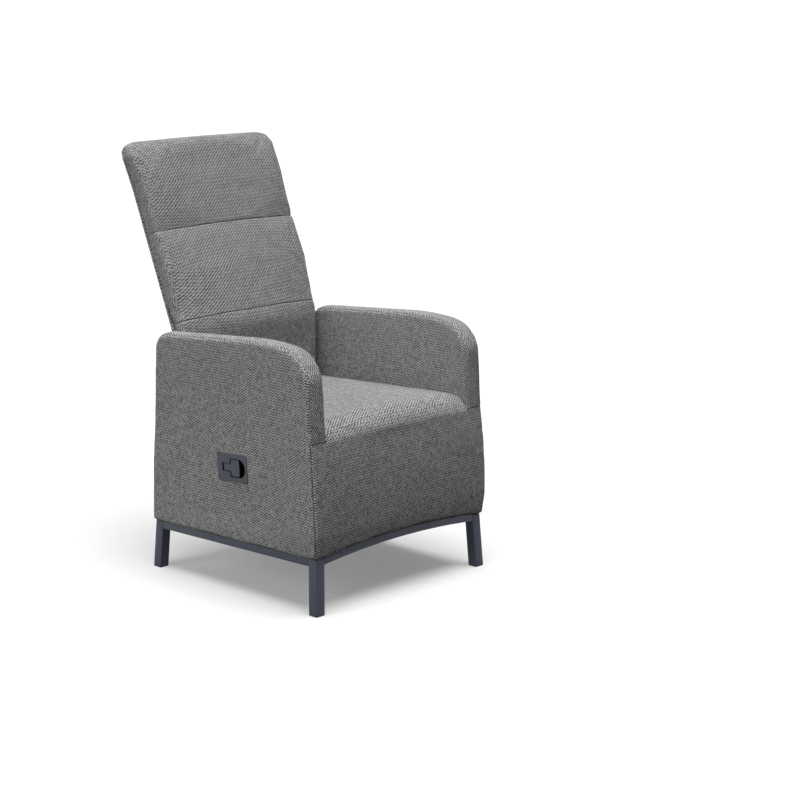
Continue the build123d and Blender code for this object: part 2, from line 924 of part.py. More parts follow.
with BuildPart() as hinge_bushes:
    disc(bush_x, bush_flange, flange_thickness)
    disc(bracket_x, pivot_pin / 2 + running_fit + bush_wall, plate_thickness)
    disc(bush_x - 1, pivot_pin / 2 + running_fit, plate_thickness + 10, Mode.SUBTRACT)
    mirror(about=Plane.YZ)
finish(hinge_bushes, "hinge_bushes")

with BuildPart() as hinge_nuts:
    with BuildSketch(side_plane(bracket_x + plate_thickness + gap)):
        with Locations((pivot_y, pivot_z)):
            RegularPolygon(nut_flats / 2, 6, major_radius=False)
            Circle(pivot_pin / 2, mode=Mode.SUBTRACT)
    extrude(amount=nut_height - 2 * gap)
    mirror(about=Plane.YZ)
finish(hinge_nuts, "hinge_nuts")

# Gas spring
swing = radians(recline_travel / 2)
crank_y = pivot_y + crank_radius * sin(swing)
crank_z = pivot_z - crank_radius * cos(swing)
crank_drop = crank_radius * (1 - cos(swing))
spring_z = crank_z - crank_drop / 2
fork_inner = eye_width / 2 + slip_fit
slot_half = gas_pin / 2 + crank_drop / 2 + slip_fit


def along_plane(y):
    """Plane square to the gas spring's axis, facing the rear."""
    return Plane(origin=(0, base_y + y, spring_z), x_dir=(1, 0, 0), z_dir=(0, 1, 0))


def bar(y, radius, length, mode=Mode.ADD):
    """Round bar along the gas spring's axis."""
    with BuildSketch(along_plane(y)) as round_face:
        Circle(radius)
    extrude(round_face.sketch, amount=length, mode=mode)


with BuildPart() as crank_plates:
    with BuildSketch(side_plane(fork_inner)):
        low_front = back_rear_y + tube_low
        low_z = back_bend_z + low_cross
        Polygon(
            (low_front, low_z),
            (low_front + back_tube, low_z),
            (crank_y + fork_half_width, crank_z),
            (crank_y - fork_half_width, crank_z),
        )
        with Locations((crank_y, crank_z)):
            Circle(fork_half_width)
            Circle(gas_pin / 2, mode=Mode.SUBTRACT)
    extrude(amount=fork_plate)
    mirror(about=Plane.YZ)
finish(crank_plates, "crank_plates")

with BuildPart() as crank_pin:
    with BuildSketch(side_plane(-fork_inner - fork_plate - 2)):
        with Locations((crank_y, crank_z)):
            Circle(gas_pin / 2)
    extrude(amount=2 * (fork_inner + fork_plate + 2))
finish(crank_pin, "crank_pin")

cylinder_rear = crank_y - eye_radius - 4
cylinder_front = cylinder_rear - cylinder_length
with BuildPart() as gas_cylinder:
    bar(cylinder_front, cylinder_diameter / 2, cylinder_length)
    with BuildSketch(side_plane(-eye_width / 2)):
        with Locations((crank_y, spring_z)):
            Circle(eye_radius)
        with Locations(((cylinder_rear + crank_y) / 2, spring_z)):
            Rectangle(crank_y - cylinder_rear, 1.4 * eye_radius)
        with Locations((crank_y, spring_z)):
            Rectangle(gas_pin + 1, 2 * slot_half, mode=Mode.SUBTRACT)
    extrude(amount=eye_width)
    bar(cylinder_front - 1, rod_diameter / 2 + running_fit, cylinder_length - 10, Mode.SUBTRACT)
finish(gas_cylinder, "gas_cylinder")

rod_tip = head_y + head_length
with BuildPart() as gas_rod:
    bar(rod_tip, rod_diameter / 2, cylinder_front + rod_overlap - rod_tip)
    bar(rod_tip - 1, valve_diameter / 2 + running_fit, 14, Mode.SUBTRACT)
finish(gas_rod, "gas_rod")

head_tab = rod_tip + tab_reach
cable_z = spring_z - cable_drop
arm_pivot_y = rod_tip - valve_reach - arm_pivot_reach
arm_pivot_z = spring_z + arm_pivot_rise
with BuildPart() as release_head:
    with BuildSketch(side_plane(-head_half_width)):
        Polygon(
            (head_y, spring_z + head_half_height),
            (head_tab + tab_thickness, spring_z + head_half_height),
            (head_tab + tab_thickness, cable_z - ferrule_diameter),
            (head_tab, cable_z - ferrule_diameter),
            (head_tab, spring_z - head_half_height),
            (head_y, spring_z - head_half_height),
        )
        with Locations((head_y, spring_z)):
            Circle(head_half_height)
            Circle(gas_pin / 2 + running_fit, mode=Mode.SUBTRACT)
    extrude(amount=2 * head_half_width)
    bar(rod_tip, rod_diameter / 2, 40, Mode.SUBTRACT)
    bar(rod_tip - valve_reach - 1, valve_diameter / 2 + running_fit, 20, Mode.SUBTRACT)
    with BuildSketch(side_plane(-arm_slot_half)):
        with Locations((rod_tip - valve_reach - 6, spring_z)):
            Rectangle(18, 4 * head_half_height)
    extrude(amount=2 * arm_slot_half, mode=Mode.SUBTRACT)
    with BuildSketch(along_plane(rod_tip)):
        with Locations((0, cable_drop)):
            Circle(ferrule_diameter / 2)
    extrude(amount=20, mode=Mode.SUBTRACT)
    with BuildSketch(side_plane(-head_half_width)):
        with Locations((arm_pivot_y, arm_pivot_z)):
            Circle(arm_pin / 2)
    extrude(amount=2 * head_half_width, mode=Mode.SUBTRACT)
finish(release_head, "release_head")

arm_touch = rod_tip - valve_reach - 2 * running_fit
arm_foot = cable_z - 1.5 * arm_half_width
with BuildPart() as release_arm:
    with BuildSketch(side_plane(-arm_slot_half + slip_fit)):
        Polygon(
            (arm_pivot_y - arm_half_width, arm_pivot_z),
            (arm_pivot_y + arm_half_width, arm_pivot_z),
            (arm_touch, spring_z + 1.5),
            (arm_touch, spring_z - 1.5),
            (arm_pivot_y + arm_half_width / 2, spring_z - 6),
            (arm_pivot_y + arm_half_width / 2, arm_foot),
            (arm_pivot_y - arm_half_width, arm_foot),
        )
        with Locations((arm_pivot_y, arm_pivot_z)):
            Circle(arm_half_width)
            Circle(arm_pin / 2 + running_fit, mode=Mode.SUBTRACT)
    extrude(amount=2 * (arm_slot_half - slip_fit))
    with BuildSketch(along_plane(arm_pivot_y - 10)):
        with Locations((0, cable_drop)):
            SlotOverall(3 * wire_diameter, wire_diameter + 1, rotation=90)
    extrude(amount=20, mode=Mode.SUBTRACT)
finish(release_arm, "release_arm")

with BuildPart() as release_arm_pin:
    with BuildSketch(side_plane(-head_half_width + gap)):
        with Locations((arm_pivot_y, arm_pivot_z)):
            Circle(arm_pin / 2)
    extrude(amount=2 * (head_half_width - gap))
finish(release_arm_pin, "release_arm_pin")

with BuildPart() as valve_pin:
    bar(rod_tip - valve_reach, valve_diameter / 2, valve_reach + 8)
finish(valve_pin, "valve_pin")

with BuildPart() as front_fork:
    with BuildSketch(side_plane(head_half_width + slip_fit)):
        Polygon(
            (head_y - 11, seat_tube_low),
            (head_y + 11, seat_tube_low),
            (head_y + 9, spring_z),
            (head_y - 9, spring_z),
        )
        with Locations((head_y, spring_z)):
            Circle(9)
            Circle(gas_pin / 2, mode=Mode.SUBTRACT)
    extrude(amount=fork_plate)
    mirror(about=Plane.YZ)
finish(front_fork, "front_fork")

with BuildPart() as front_pin:
    reach = head_half_width + slip_fit + fork_plate + 2
    with BuildSketch(side_plane(-reach)):
        with Locations((head_y, spring_z)):
            Circle(gas_pin / 2)
    extrude(amount=2 * reach)
finish(front_pin, "front_pin")


# Release lever
def lever_level(w):
    """Plane along the lever housing, w outwards from the side panel's face."""
    return Plane(
        origin=lever_plane.from_local_coords((0, 0, w)),
        x_dir=lever_plane.x_dir,
        z_dir=lever_plane.z_dir,
    )


def cable_plane(u, backwards=False):
    """Plane square to the cable's level axis in the lever housing, at a distance along it."""
    start = lever_plane.from_local_coords((lever_axis_u, 0, -lever_axis_depth - lever_crank))
    place = start - Vector(0, u - lever_axis_u, 0)
    return Plane(origin=place, x_dir=(0, 0, 1), z_dir=(0, 1 if backwards else -1, 0))


def recess_outline(inset, rear_end, wide_rear, front_end, rounded):
    """T-shaped outline: a narrow neck at the rear and a wide part towards the front."""
    neck_front = wide_rear + 1
    with Locations(((rear_end + neck_front) / 2, 0)):
        Rectangle(neck_front - rear_end, slot_height - 2 * inset)
    with Locations(((wide_rear + front_end) / 2, 0)):
        Rectangle(front_end - wide_rear, pocket_height - 2 * inset)
    if rounded:
        with Locations((front_end, 0)):
            Circle(pocket_height / 2 - inset)


def lever_across(v):
    """Plane square to the lever's axis at a height v, where local y points into the chair."""
    return Plane(
        origin=lever_plane.from_local_coords((lever_axis_u, v, -lever_axis_depth)),
        x_dir=lever_plane.x_dir,
        z_dir=lever_plane.y_dir,
    )


tub_floor = -tub_depth + tub_wall
with BuildPart() as lever_housing:
    with BuildSketch(lever_level(-tub_depth)):
        tub_outline(0)
    extrude(amount=tub_depth)
    with BuildSketch(lever_level(gap)):
        RectangleRounded(plate_length, plate_height, plate_corner)
    extrude(amount=plate_proud)
    with BuildSketch(lever_level(-1)):
        tub_outline(0)
    extrude(amount=1 + gap + 0.1)
    rim = faces().sort_by(Axis.X)[0].edges()
    fillet(rim, 1.2)
    with BuildSketch(lever_level(tub_floor)):
        recess_outline(0, slot_rear, pocket_rear, pocket_straight, True)
    extrude(amount=tub_depth + 10, mode=Mode.SUBTRACT)
    with BuildSketch(lever_across(-slot_height / 2 - lever_pin_grip)):
        Circle(lever_pin_diameter / 2)
    extrude(amount=slot_height + 2 * lever_pin_grip, mode=Mode.SUBTRACT)
    with BuildSketch(cable_plane(tub_rear - 1)):
        Circle(ferrule_diameter / 2)
    extrude(amount=tub_wall + 2, mode=Mode.SUBTRACT)
finish(lever_housing, "lever_housing")

with BuildPart() as lever_pin:
    with BuildSketch(lever_across(-slot_height / 2 - lever_pin_grip)):
        Circle(lever_pin_diameter / 2)
    extrude(amount=slot_height + 2 * lever_pin_grip)
finish(lever_pin, "lever_pin")

paddle_top = plate_proud - paddle_sunk
barrel_low = -slot_height / 2 + paddle_gap
nipple_half = fork_gap / 2 + fork_prong
with BuildPart() as lever_paddle:
    with BuildSketch(lever_level(paddle_top - paddle_thickness)):
        shoulder = pocket_rear + paddle_gap + shoulder_gap
        recess_outline(paddle_gap, paddle_rear, shoulder, paddle_front, False)
    extrude(amount=paddle_thickness)
    fillet(faces().sort_by(Axis.X)[0].edges(), 0.8)
    with BuildSketch(lever_across(barrel_low)):
        Circle(barrel_radius)
        with Locations((0, -lever_axis_depth / 2)):
            Rectangle(2 * barrel_radius, lever_axis_depth)
    extrude(amount=nipple_half - barrel_low)
    with BuildSketch(lever_across(-nipple_half)):
        with Locations((0, (lever_crank + fork_depth) / 2)):
            Rectangle(2 * fork_prong, lever_crank + fork_depth)
    extrude(amount=2 * nipple_half)
    with BuildSketch(lever_across(-fork_gap / 2)):
        with Locations((0, lever_crank + fork_depth / 2)):
            Rectangle(3 * fork_prong, 2 * lever_crank - fork_depth)
    extrude(amount=fork_gap, mode=Mode.SUBTRACT)
    with BuildSketch(lever_across(-slot_height)):
        Circle(lever_pin_diameter / 2 + running_fit)
    extrude(amount=2 * slot_height, mode=Mode.SUBTRACT)
finish(lever_paddle, "lever_paddle")

with BuildPart() as lever_spring:
    with BuildLine(lever_across(nipple_half + spring_wire + gap)):
        coil = Helix(spring_pitch, spring_pitch * spring_turns, spring_radius)
    with BuildSketch(Plane(origin=coil @ 0, z_dir=coil % 0)):
        Circle(spring_wire / 2)
    sweep(is_frenet=True)
finish(lever_spring, "lever_spring")


# Release cable
def wire_piece(start, grip_end, nipple_side):
    """Bare end of the inner wire with its barrel nipple, along the plane it starts on."""
    with BuildSketch(start) as round_face:
        Circle(wire_diameter / 2)
    extrude(round_face.sketch, amount=grip_end)
    barrel = Plane(
        origin=start.from_local_coords((-nipple_side, 0, 0)),
        x_dir=start.y_dir,
        z_dir=start.x_dir,
    )
    with BuildSketch(barrel) as nipple_face:
        Circle(nipple_diameter / 2)
    extrude(nipple_face.sketch, amount=2 * nipple_side)


lever_nipple_u = lever_axis_u + fork_prong + slip_fit + gap + nipple_diameter / 2
with BuildPart() as lever_wire:
    wire_start = cable_plane(lever_nipple_u, backwards=True)
    wire_piece(wire_start, lever_nipple_u - slot_rear + wire_grip, nipple_half)
finish(lever_wire, "lever_wire")

valve_nipple_y = arm_pivot_y - arm_half_width - gap - nipple_diameter / 2
with BuildPart() as valve_wire:
    wire_start = Plane(
        origin=(0, base_y + valve_nipple_y, cable_z),
        x_dir=(1, 0, 0),
        z_dir=(0, 1, 0),
    )
    wire_piece(wire_start, head_tab - valve_nipple_y + wire_grip, head_half_width - 2)
finish(valve_wire, "valve_wire")

lever_ferrule = cable_plane(slot_rear, backwards=True)
head_ferrule = Plane(
    origin=(0, base_y + head_tab, cable_z),
    x_dir=(1, 0, 0),
    z_dir=(0, 1, 0),
)
with BuildPart() as cable_ferrules:
    for place in (lever_ferrule, head_ferrule):
        with BuildSketch(place):
            Circle(ferrule_diameter / 2)
        extrude(amount=ferrule_length)
        with BuildSketch(place):
            Circle(wire_diameter / 2 + running_fit)
        extrude(amount=ferrule_length - 2, mode=Mode.SUBTRACT)
finish(cable_ferrules, "cable_ferrules")


def arc_radii(points):
    """Radius of the arc at each corner of a route, as large as its two runs allow."""
    radii = []
    for before, here, after in zip(points, points[1:], points[2:]):
        run_in = here - before
        run_out = after - here
        turn = radians(run_in.get_angle(run_out))
        radii.append(0.45 * min(run_in.length, run_out.length) / tan(turn / 2))
    return radii


cable_start = lever_ferrule.from_local_coords(Vector(0, 0, ferrule_length))
cable_end = head_ferrule.from_local_coords(Vector(0, 0, ferrule_length))
cable_lead_end = Vector(0, 0, ferrule_length + cable_lead)


def route_point(share, swing):
    """Point of the cable's route, a share of the way between its ends and swung out behind."""
    return cable_start + (cable_end - cable_start) * share + Vector(0, swing * cable_loop, 0)


route = [
    cable_start,
    lever_ferrule.from_local_coords(cable_lead_end),
    route_point(0.05, 0.6),
    route_point(0.2, 0.88),
    route_point(0.4, 1),
    route_point(0.6, 1),
    route_point(0.77, 0.86),
    route_point(0.9, 0.65),
    head_ferrule.from_local_coords(cable_lead_end),
    cable_end,
]
bends = arc_radii(route)
print("cable bend radii", [round(radius) for radius in bends])
with BuildPart() as release_cable:
    with BuildLine():
        path = FilletPolyline(*route, radius=bends)
    with BuildSketch(Plane(origin=path @ 0, z_dir=path % 0)):
        Circle(cable_diameter / 2)
    sweep()
finish(release_cable, "release_cable")
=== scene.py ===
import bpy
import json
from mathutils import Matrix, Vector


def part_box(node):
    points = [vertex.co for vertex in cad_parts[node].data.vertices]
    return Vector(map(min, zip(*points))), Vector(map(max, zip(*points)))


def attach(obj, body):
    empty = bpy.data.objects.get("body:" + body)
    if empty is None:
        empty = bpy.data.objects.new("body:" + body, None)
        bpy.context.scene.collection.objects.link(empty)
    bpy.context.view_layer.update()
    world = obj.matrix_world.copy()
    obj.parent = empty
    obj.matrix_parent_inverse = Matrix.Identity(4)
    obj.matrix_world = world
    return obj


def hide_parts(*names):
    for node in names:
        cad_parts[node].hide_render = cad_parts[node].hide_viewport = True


bl_info = {
    "name": "Reclining garden armchair",
    "version": (1, 0, 0),
    "blender": (4, 5, 0),
    "location": "View3D > Sidebar > Armchair",
    "description": "Upholstery, finishes and studio of a reclining garden armchair",
    "category": "Object",
}

import json
from math import cos, pi, radians, sin, tan

import bmesh
import bpy
from mathutils import Matrix, Vector

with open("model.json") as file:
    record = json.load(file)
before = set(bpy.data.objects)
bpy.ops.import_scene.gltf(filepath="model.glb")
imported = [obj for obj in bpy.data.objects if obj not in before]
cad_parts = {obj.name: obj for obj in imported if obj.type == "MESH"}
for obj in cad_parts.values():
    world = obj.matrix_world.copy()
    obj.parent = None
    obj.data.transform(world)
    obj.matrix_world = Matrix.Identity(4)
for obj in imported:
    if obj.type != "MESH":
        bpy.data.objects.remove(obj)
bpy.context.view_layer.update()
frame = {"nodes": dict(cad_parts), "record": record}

# The body's own lines, as the frame has them
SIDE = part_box("side_panel_left")[1].x
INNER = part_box("arm_inner_panel_left")[0].x
SEAT_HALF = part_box("seat_cushion")[1].x
FRONT_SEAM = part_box("front_apron")[1].z
REAR_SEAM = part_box("rear_panel")[1].z
BODY_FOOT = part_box("front_apron")[0].z
ENDS = ((True, FRONT_SEAM), (False, REAR_SEAM))  # whether an end is the front one, and its top
MIDDLE_Y = (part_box("side_panel_left")[0].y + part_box("side_panel_left")[1].y) / 2
LEAN = tan(radians(3.2))  # how far the front and rear faces lean in per metre of height
HALF_DEPTH = 0.3145  # half the body's depth, at the height HALF_DEPTH_Z
HALF_DEPTH_Z = 0.1434
SEAT_UNDERSIDE = 0.40  # near the height of the seat cushion's lower face
PAD = 0.0135  # thickness of the padding round the body
GAP = 0.0002  # left free between two covers that meet at a seam
BAND_SEAM = 0.0031  # from an arm's side face to the seam of its band
BAND_EDGE = 0.003  # from an arm's side face to the cloth of its band
MITRE_Z = 0.3  # a height on the corners' mitre planes

# The shapes that cut one cover from another
SKIRT_Z = BODY_FOOT - 0.04  # where they start, below the covers
CLEAR = 0.05  # how far they reach outside the body
BEYOND = SIDE + 0.2
INWARD = 0.25
STRIP_DEPTH = 0.09  # of the sides' ends, which an end pad is shaped with
STRIP_RISE = 0.03
STRIP_WIDTH = 0.011

# The backrest's own frame: its bend, its rear face, its recline and its two directions
BEND_Z = 0.624
REAR_FACE_Y = MIDDLE_Y + 0.290
RECLINE = radians(22.3)
ALONG = Vector((0, sin(RECLINE), cos(RECLINE)))
AHEAD = Vector((0, -cos(RECLINE), sin(RECLINE)))

# Heights above the bend, along the backrest
CHANNEL_HEIGHTS = (0.037, 0.268)  # the foam's own channels
CHANNEL_WIDTH = 0.009
CHANNEL_DEPTH = 0.004
SEAM_HEIGHTS = (0.020, 0.265)  # the cover's stitched channels
FOAM_DEPTH = 0.0711  # of the foam at the bend
FOAM_TAPER = 0.0449  # what that depth loses per metre of height

# Where the stuffing grows fuller: starts and ends of ramps
FULL_RISE = (0.56, 0.78)  # height above the floor
FULL_AHEAD = 0.03  # start, ahead of the backrest's rear face
WIDE_ACROSS = (0.20, SEAT_HALF - 0.008)  # from the chair's middle
WIDE_ALONG = (0.03, 0.15)  # along the backrest
TOP_START = 0.28
TOP_CORNER_ACROSS = (0.13, 0.215)
TOP_CORNER_AHEAD = (0.02, 0.05)
BODY_CORNER_FORWARD = (0.20, 0.36)  # in front of the chair's middle
BODY_CORNER_ACROSS = (0.27, 0.30)
BODY_CORNER_FACE = (0.33, 0.38)

# How much fuller
WIDE_SHARE = 1.35  # sideways, of the fullness ahead
TOP_CORNER_REAR = 0.006
TOP_CORNER_MORE = 0.011  # added towards the front
BODY_CORNER_SHARE = 0.6  # forwards, of the fullness sideways

# The lever's finger plate
LEVER_TILT = radians(-3)
PLATE_DEPTH = 0.0045  # what lies behind it keeps its shape
PLATE_NARROWING = 0.95

# Steps of the shaping
BOTH_SIDES = (1, -1)
THIN_NET = 0.004  # net size of the thin rear cloth
CLOTH_FRAMES = 20
CLOTH_PRESSURE = 4.0
SEAM_CUTS = (-1, -0.4, 0, 0.4, 1)  # cuts across a seam, as shares of its half width
SEAM_REACH = 0.02  # faces this near to a seam's plane are cut

# The studio: the camera of the photo's view, and lamps with turns and spreads in degrees
CAMERA_PLACE = (-3.5648, -3.8223, 1.5884)
CAMERA_TURN = (77.584, 0, -46.05)
SENSOR_WIDTH = 36
LAMPS = (
    ("key_light", (8.5, 0, 0), 2.85, 45),
    ("fill_light", (0, -76, 0), 1.22, 60),
    ("rear_light", (-68, 0, 0), 0.6, 60),
)
OVERHEAD_LIGHT = 0.12
FLOOR_SIZE = 150
FLOOR_GLOW = 0.22


class UpholsterySettings(bpy.types.PropertyGroup):
    """Sizes and colours of the fabric covers."""

    light_thread: bpy.props.FloatVectorProperty(
        name="Light thread", description="Colour of the pale threads",
        subtype="COLOR", size=3, min=0, max=1, default=(0.66, 0.65, 0.64))
    dark_thread: bpy.props.FloatVectorProperty(
        name="Dark thread", description="Colour of the dark threads",
        subtype="COLOR", size=3, min=0, max=1, default=(0.035, 0.036, 0.041))
    thread_pitch: bpy.props.FloatProperty(
        name="Thread pitch", description="Distance between two threads of the weave",
        subtype="DISTANCE", unit="LENGTH", default=0.0034, min=0.0005, max=0.01)
    column_width: bpy.props.FloatProperty(
        name="Column width", description="Width of one column of the herringbone",
        subtype="DISTANCE", unit="LENGTH", default=0.0052, min=0.001, max=0.05)
    net_size: bpy.props.FloatProperty(
        name="Net size", description="Size of the even net that each pad is shaped with",
        subtype="DISTANCE", unit="LENGTH", default=0.0055, min=0.004, max=0.02)
    softness: bpy.props.IntProperty(
        name="Softness", description="How often a pad's edges are rounded",
        default=4, min=0, max=40)
    seam_width: bpy.props.FloatProperty(
        name="Seam width", description="Half width of the groove along a seam",
        subtype="DISTANCE", unit="LENGTH", default=0.003, min=0.001, max=0.01)
    seam_depth: bpy.props.FloatProperty(
        name="Seam depth", description="Depth of the groove along a seam",
        subtype="DISTANCE", unit="LENGTH", default=0.0018, min=0, max=0.01)
    roll_radius: bpy.props.FloatProperty(
        name="Roll radius", description="Radius of the cover's roll over the seat's front edge",
        subtype="DISTANCE", unit="LENGTH", default=0.068, min=0.005, max=0.1)
    seat_swell: bpy.props.FloatProperty(
        name="Seat swell", description="Most that the seat's filling may push its cover out",
        subtype="DISTANCE", unit="LENGTH", default=0.007, min=0, max=0.03)
    back_fullness: bpy.props.FloatProperty(
        name="Back fullness", description="How much thicker the stuffed backrest is than its foam",
        subtype="DISTANCE", unit="LENGTH", default=0.012, min=0, max=0.02)
    back_rise: bpy.props.FloatProperty(
        name="Back rise", description="How far the cover's top stands above the backrest's foam",
        subtype="DISTANCE", unit="LENGTH", default=0.012, min=0, max=0.02)
    corner_fullness: bpy.props.FloatProperty(
        name="Corner fullness", description="How much fuller the body's front corners are stuffed",
        subtype="DISTANCE", unit="LENGTH", default=0.006, min=0, max=0.02)
    back_swell: bpy.props.FloatProperty(
        name="Back swell", description="Most that the backrest's filling may push its cover out",
        subtype="DISTANCE", unit="LENGTH", default=0.002, min=0, max=0.03)


class FinishSettings(bpy.types.PropertyGroup):
    """Colours and rounded edges of the metal and plastic parts."""

    frame_paint: bpy.props.FloatVectorProperty(
        name="Frame paint", description="Powder coat of the legs and rails",
        subtype="COLOR", size=3, min=0, max=1, default=(0.026, 0.034, 0.060))
    inner_paint: bpy.props.FloatVectorProperty(
        name="Inner paint", description="Paint of the frame inside the upholstery",
        subtype="COLOR", size=3, min=0, max=1, default=(0.020, 0.021, 0.023))
    lever_plastic: bpy.props.FloatVectorProperty(
        name="Lever plastic", description="Moulded plastic of the lever and its housing",
        subtype="COLOR", size=3, min=0, max=1, default=(0.034, 0.037, 0.058))
    lever_bulge: bpy.props.FloatProperty(
        name="Lever bulge",
        description="How far the front edge of the lever's finger plate curves out",
        subtype="DISTANCE", unit="LENGTH", default=0.002, min=0, max=0.004)
    lever_round: bpy.props.FloatProperty(
        name="Lever rounding", description="Radius of the rounded rim of the lever's finger plate",
        subtype="DISTANCE", unit="LENGTH", default=0.0014, min=0, max=0.003)
    edge_round: bpy.props.FloatProperty(
        name="Edge rounding", description="Radius of the rounded edges of tubes and plates",
        subtype="DISTANCE", unit="LENGTH", default=0.0016, min=0, max=0.01)


class StudioSettings(bpy.types.PropertyGroup):
    """Floor and camera."""

    floor_colour: bpy.props.FloatVectorProperty(
        name="Floor", description="Colour of the plain floor",
        subtype="COLOR", size=3, min=0, max=1, default=(0.80, 0.80, 0.80))
    focal_length: bpy.props.FloatProperty(
        name="Focal length", description="Focal length of the camera in millimetres",
        default=90.63, min=20, max=300)


# Shaping
def ramp(value, start, end):
    """0 before start, 1 after end, and even between them."""
    return min(1, max(0, (value - start) / (end - start)))


def node_copy(*names):
    """A bmesh of the frame's nodes with their doubles merged."""
    bm = bmesh.new()
    for name in names:
        bm.from_mesh(frame["nodes"][name].data)
    bmesh.ops.remove_doubles(bm, verts=bm.verts, dist=0.00001)
    return bm


def flat_copy(name):
    """A bmesh of a node whose flat triangles are joined into whole faces."""
    bm = node_copy(name)
    bmesh.ops.dissolve_limit(bm, angle_limit=radians(1), verts=bm.verts, edges=bm.edges)
    return bm


def whole(bm):
    """All that a bmesh is made of."""
    return bm.verts[:] + bm.edges[:] + bm.faces[:]


def keep_part(bm, point, normal):
    """Cuts away what lies on the normal's side of a plane, and closes the cut."""
    cut = bmesh.ops.bisect_plane(bm, geom=whole(bm), plane_co=point, plane_no=normal,
                                 clear_outer=True)
    edges = [e for e in cut["geom_cut"] if isinstance(e, bmesh.types.BMEdge)]
    bmesh.ops.holes_fill(bm, edges=edges)


def gathered(*meshes):
    """One bmesh of several, which are then freed."""
    total = meshes[0]
    for other in meshes[1:]:
        spare = bpy.data.meshes.new("spare")
        other.to_mesh(spare)
        other.free()
        total.from_mesh(spare)
        bpy.data.meshes.remove(spare)
    return total


def new_object(bm, name):
    """An object of a bmesh, which is then freed."""
    mesh = bpy.data.meshes.new(name)
    bm.to_mesh(mesh)
    bm.free()
    piece = bpy.data.objects.new(name, mesh)
    bpy.context.scene.collection.objects.link(piece)
    return piece


def smooth_object(bm, name, crease):
    """An object of a bmesh, shaded smooth but for edges sharper than crease, in degrees."""
    piece = new_object(bm, name)
    piece.data.shade_smooth()
    piece.data.set_sharp_from_angle(angle=radians(crease))
    return piece


def discard(piece):
    """Removes a helper object and its mesh."""
    mesh = piece.data
    bpy.data.objects.remove(piece)
    bpy.data.meshes.remove(mesh)


def baked(piece):
    """A bmesh of a helper object with its modifiers applied; the object is removed."""
    bpy.context.view_layer.update()
    graph = bpy.context.evaluated_depsgraph_get()
    mesh = bpy.data.meshes.new_from_object(piece.evaluated_get(graph))
    bm = bmesh.new()
    bm.from_mesh(mesh)
    discard(piece)
    bpy.data.meshes.remove(mesh)
    return bm


def even_net(bm, size):
    """The same surface as an even net of quads."""
    piece = new_object(bm, "net")
    net = piece.modifiers.new("net", "REMESH")
    net.mode = "VOXEL"
    net.voxel_size = size
    net.adaptivity = 0
    return baked(piece)


def softened(bm, times, firm=None):
    """Rounds the net's edges; firm gives how stiff the cover is at a point, from 0 to 1."""
    piece = new_object(bm, "soft")
    smooth = piece.modifiers.new("smooth", "SMOOTH")
    smooth.factor = 0.5
    smooth.iterations = times
    if firm:
        group = piece.vertex_groups.new(name="give")
        for v in piece.data.vertices:
            group.add([v.index], 1 - firm(v.co), "REPLACE")
        smooth.vertex_group = "give"
    return baked(piece)


def subdivided(bm):
    """One level of smooth subdivision."""
    piece = new_object(bm, "fine")
    fine = piece.modifiers.new("fine", "SUBSURF")
    fine.levels = 1
    fine.render_levels = 1
    return baked(piece)


def inflated(bm, held, cap):
    """Lets the filling swell the cover.

    held says which points are sewn down, and cap is the most that one moves.
    """
    if cap == 0:
        return bm
    start = [v.co.copy() for v in bm.verts]
    piece = new_object(bm, "filling")
    group = piece.vertex_groups.new(name="sewn")
    group.add([i for i, co in enumerate(start) if held(co)], 1, "REPLACE")
    cloth = piece.modifiers.new("cloth", "CLOTH")
    cloth.settings.quality = 4
    cloth.settings.use_pressure = True
    cloth.settings.uniform_pressure_force = CLOTH_PRESSURE
    cloth.settings.vertex_group_mass = "sewn"
    cloth.settings.effector_weights.gravity = 0
    cloth.collision_settings.use_collision = False
    cloth.point_cache.frame_start = 1
    cloth.point_cache.frame_end = CLOTH_FRAMES
    scene = bpy.context.scene
    for step in range(1, CLOTH_FRAMES + 1):
        scene.frame_set(step)
        piece.evaluated_get(bpy.context.evaluated_depsgraph_get())
    bm = baked(piece)
    scene.frame_set(1)
    for v, co in zip(bm.verts, start):
        move = v.co - co
        if move.length > cap:
            v.co = co + move * (cap / move.length)
    return bm


def without(bm, *cutters):
    """The mesh with the cutters' space taken out."""
    for cutter in cutters:
        piece = new_object(bm, "cut")
        tool = new_object(cutter, "cutter")
        cut = piece.modifiers.new("cut", "BOOLEAN")
        cut.operation = "DIFFERENCE"
        cut.solver = "MANIFOLD"
        cut.object = tool
        bm = baked(piece)
        discard(tool)
    return bm


def prism(corners, low, high, lean=0.0):
    """Upright prism over a plan, its corners shifted along Y by lean times the height above low."""
    bm = bmesh.new()
    outline = [bmesh.ops.create_vert(bm, co=(x, y, low))["vert"][0] for x, y in corners]
    floor = bmesh.ops.contextual_create(bm, geom=outline)["faces"]
    top = bmesh.ops.extrude_face_region(bm, geom=floor)["geom"]
    lifted = [v for v in top if isinstance(v, bmesh.types.BMVert)]
    rise = high - low
    bmesh.ops.translate(bm, verts=lifted, vec=(0, lean * rise, rise))
    bmesh.ops.recalc_face_normals(bm, faces=bm.faces)
    return bm


def body_edge(front, z):
    """Y of the body's front or rear face at a height."""
    half = HALF_DEPTH - (z - HALF_DEPTH_Z) * LEAN
    return MIDDLE_Y - half if front else MIDDLE_Y + half


def end_space(front, top):
    """The space of a full-width end pad with the gap round it, mitred at its corners."""
    sign = 1 if front else -1
    y = body_edge(front, SKIRT_Z)
    near = SIDE + CLEAR + GAP
    far = SIDE - PAD + GAP
    corners = [
        (near, y - sign * CLEAR),
        (far, y + sign * PAD),
        (-far, y + sign * PAD),
        (-near, y - sign * CLEAR),
    ]
    return prism(corners, SKIRT_Z, top, sign * LEAN)


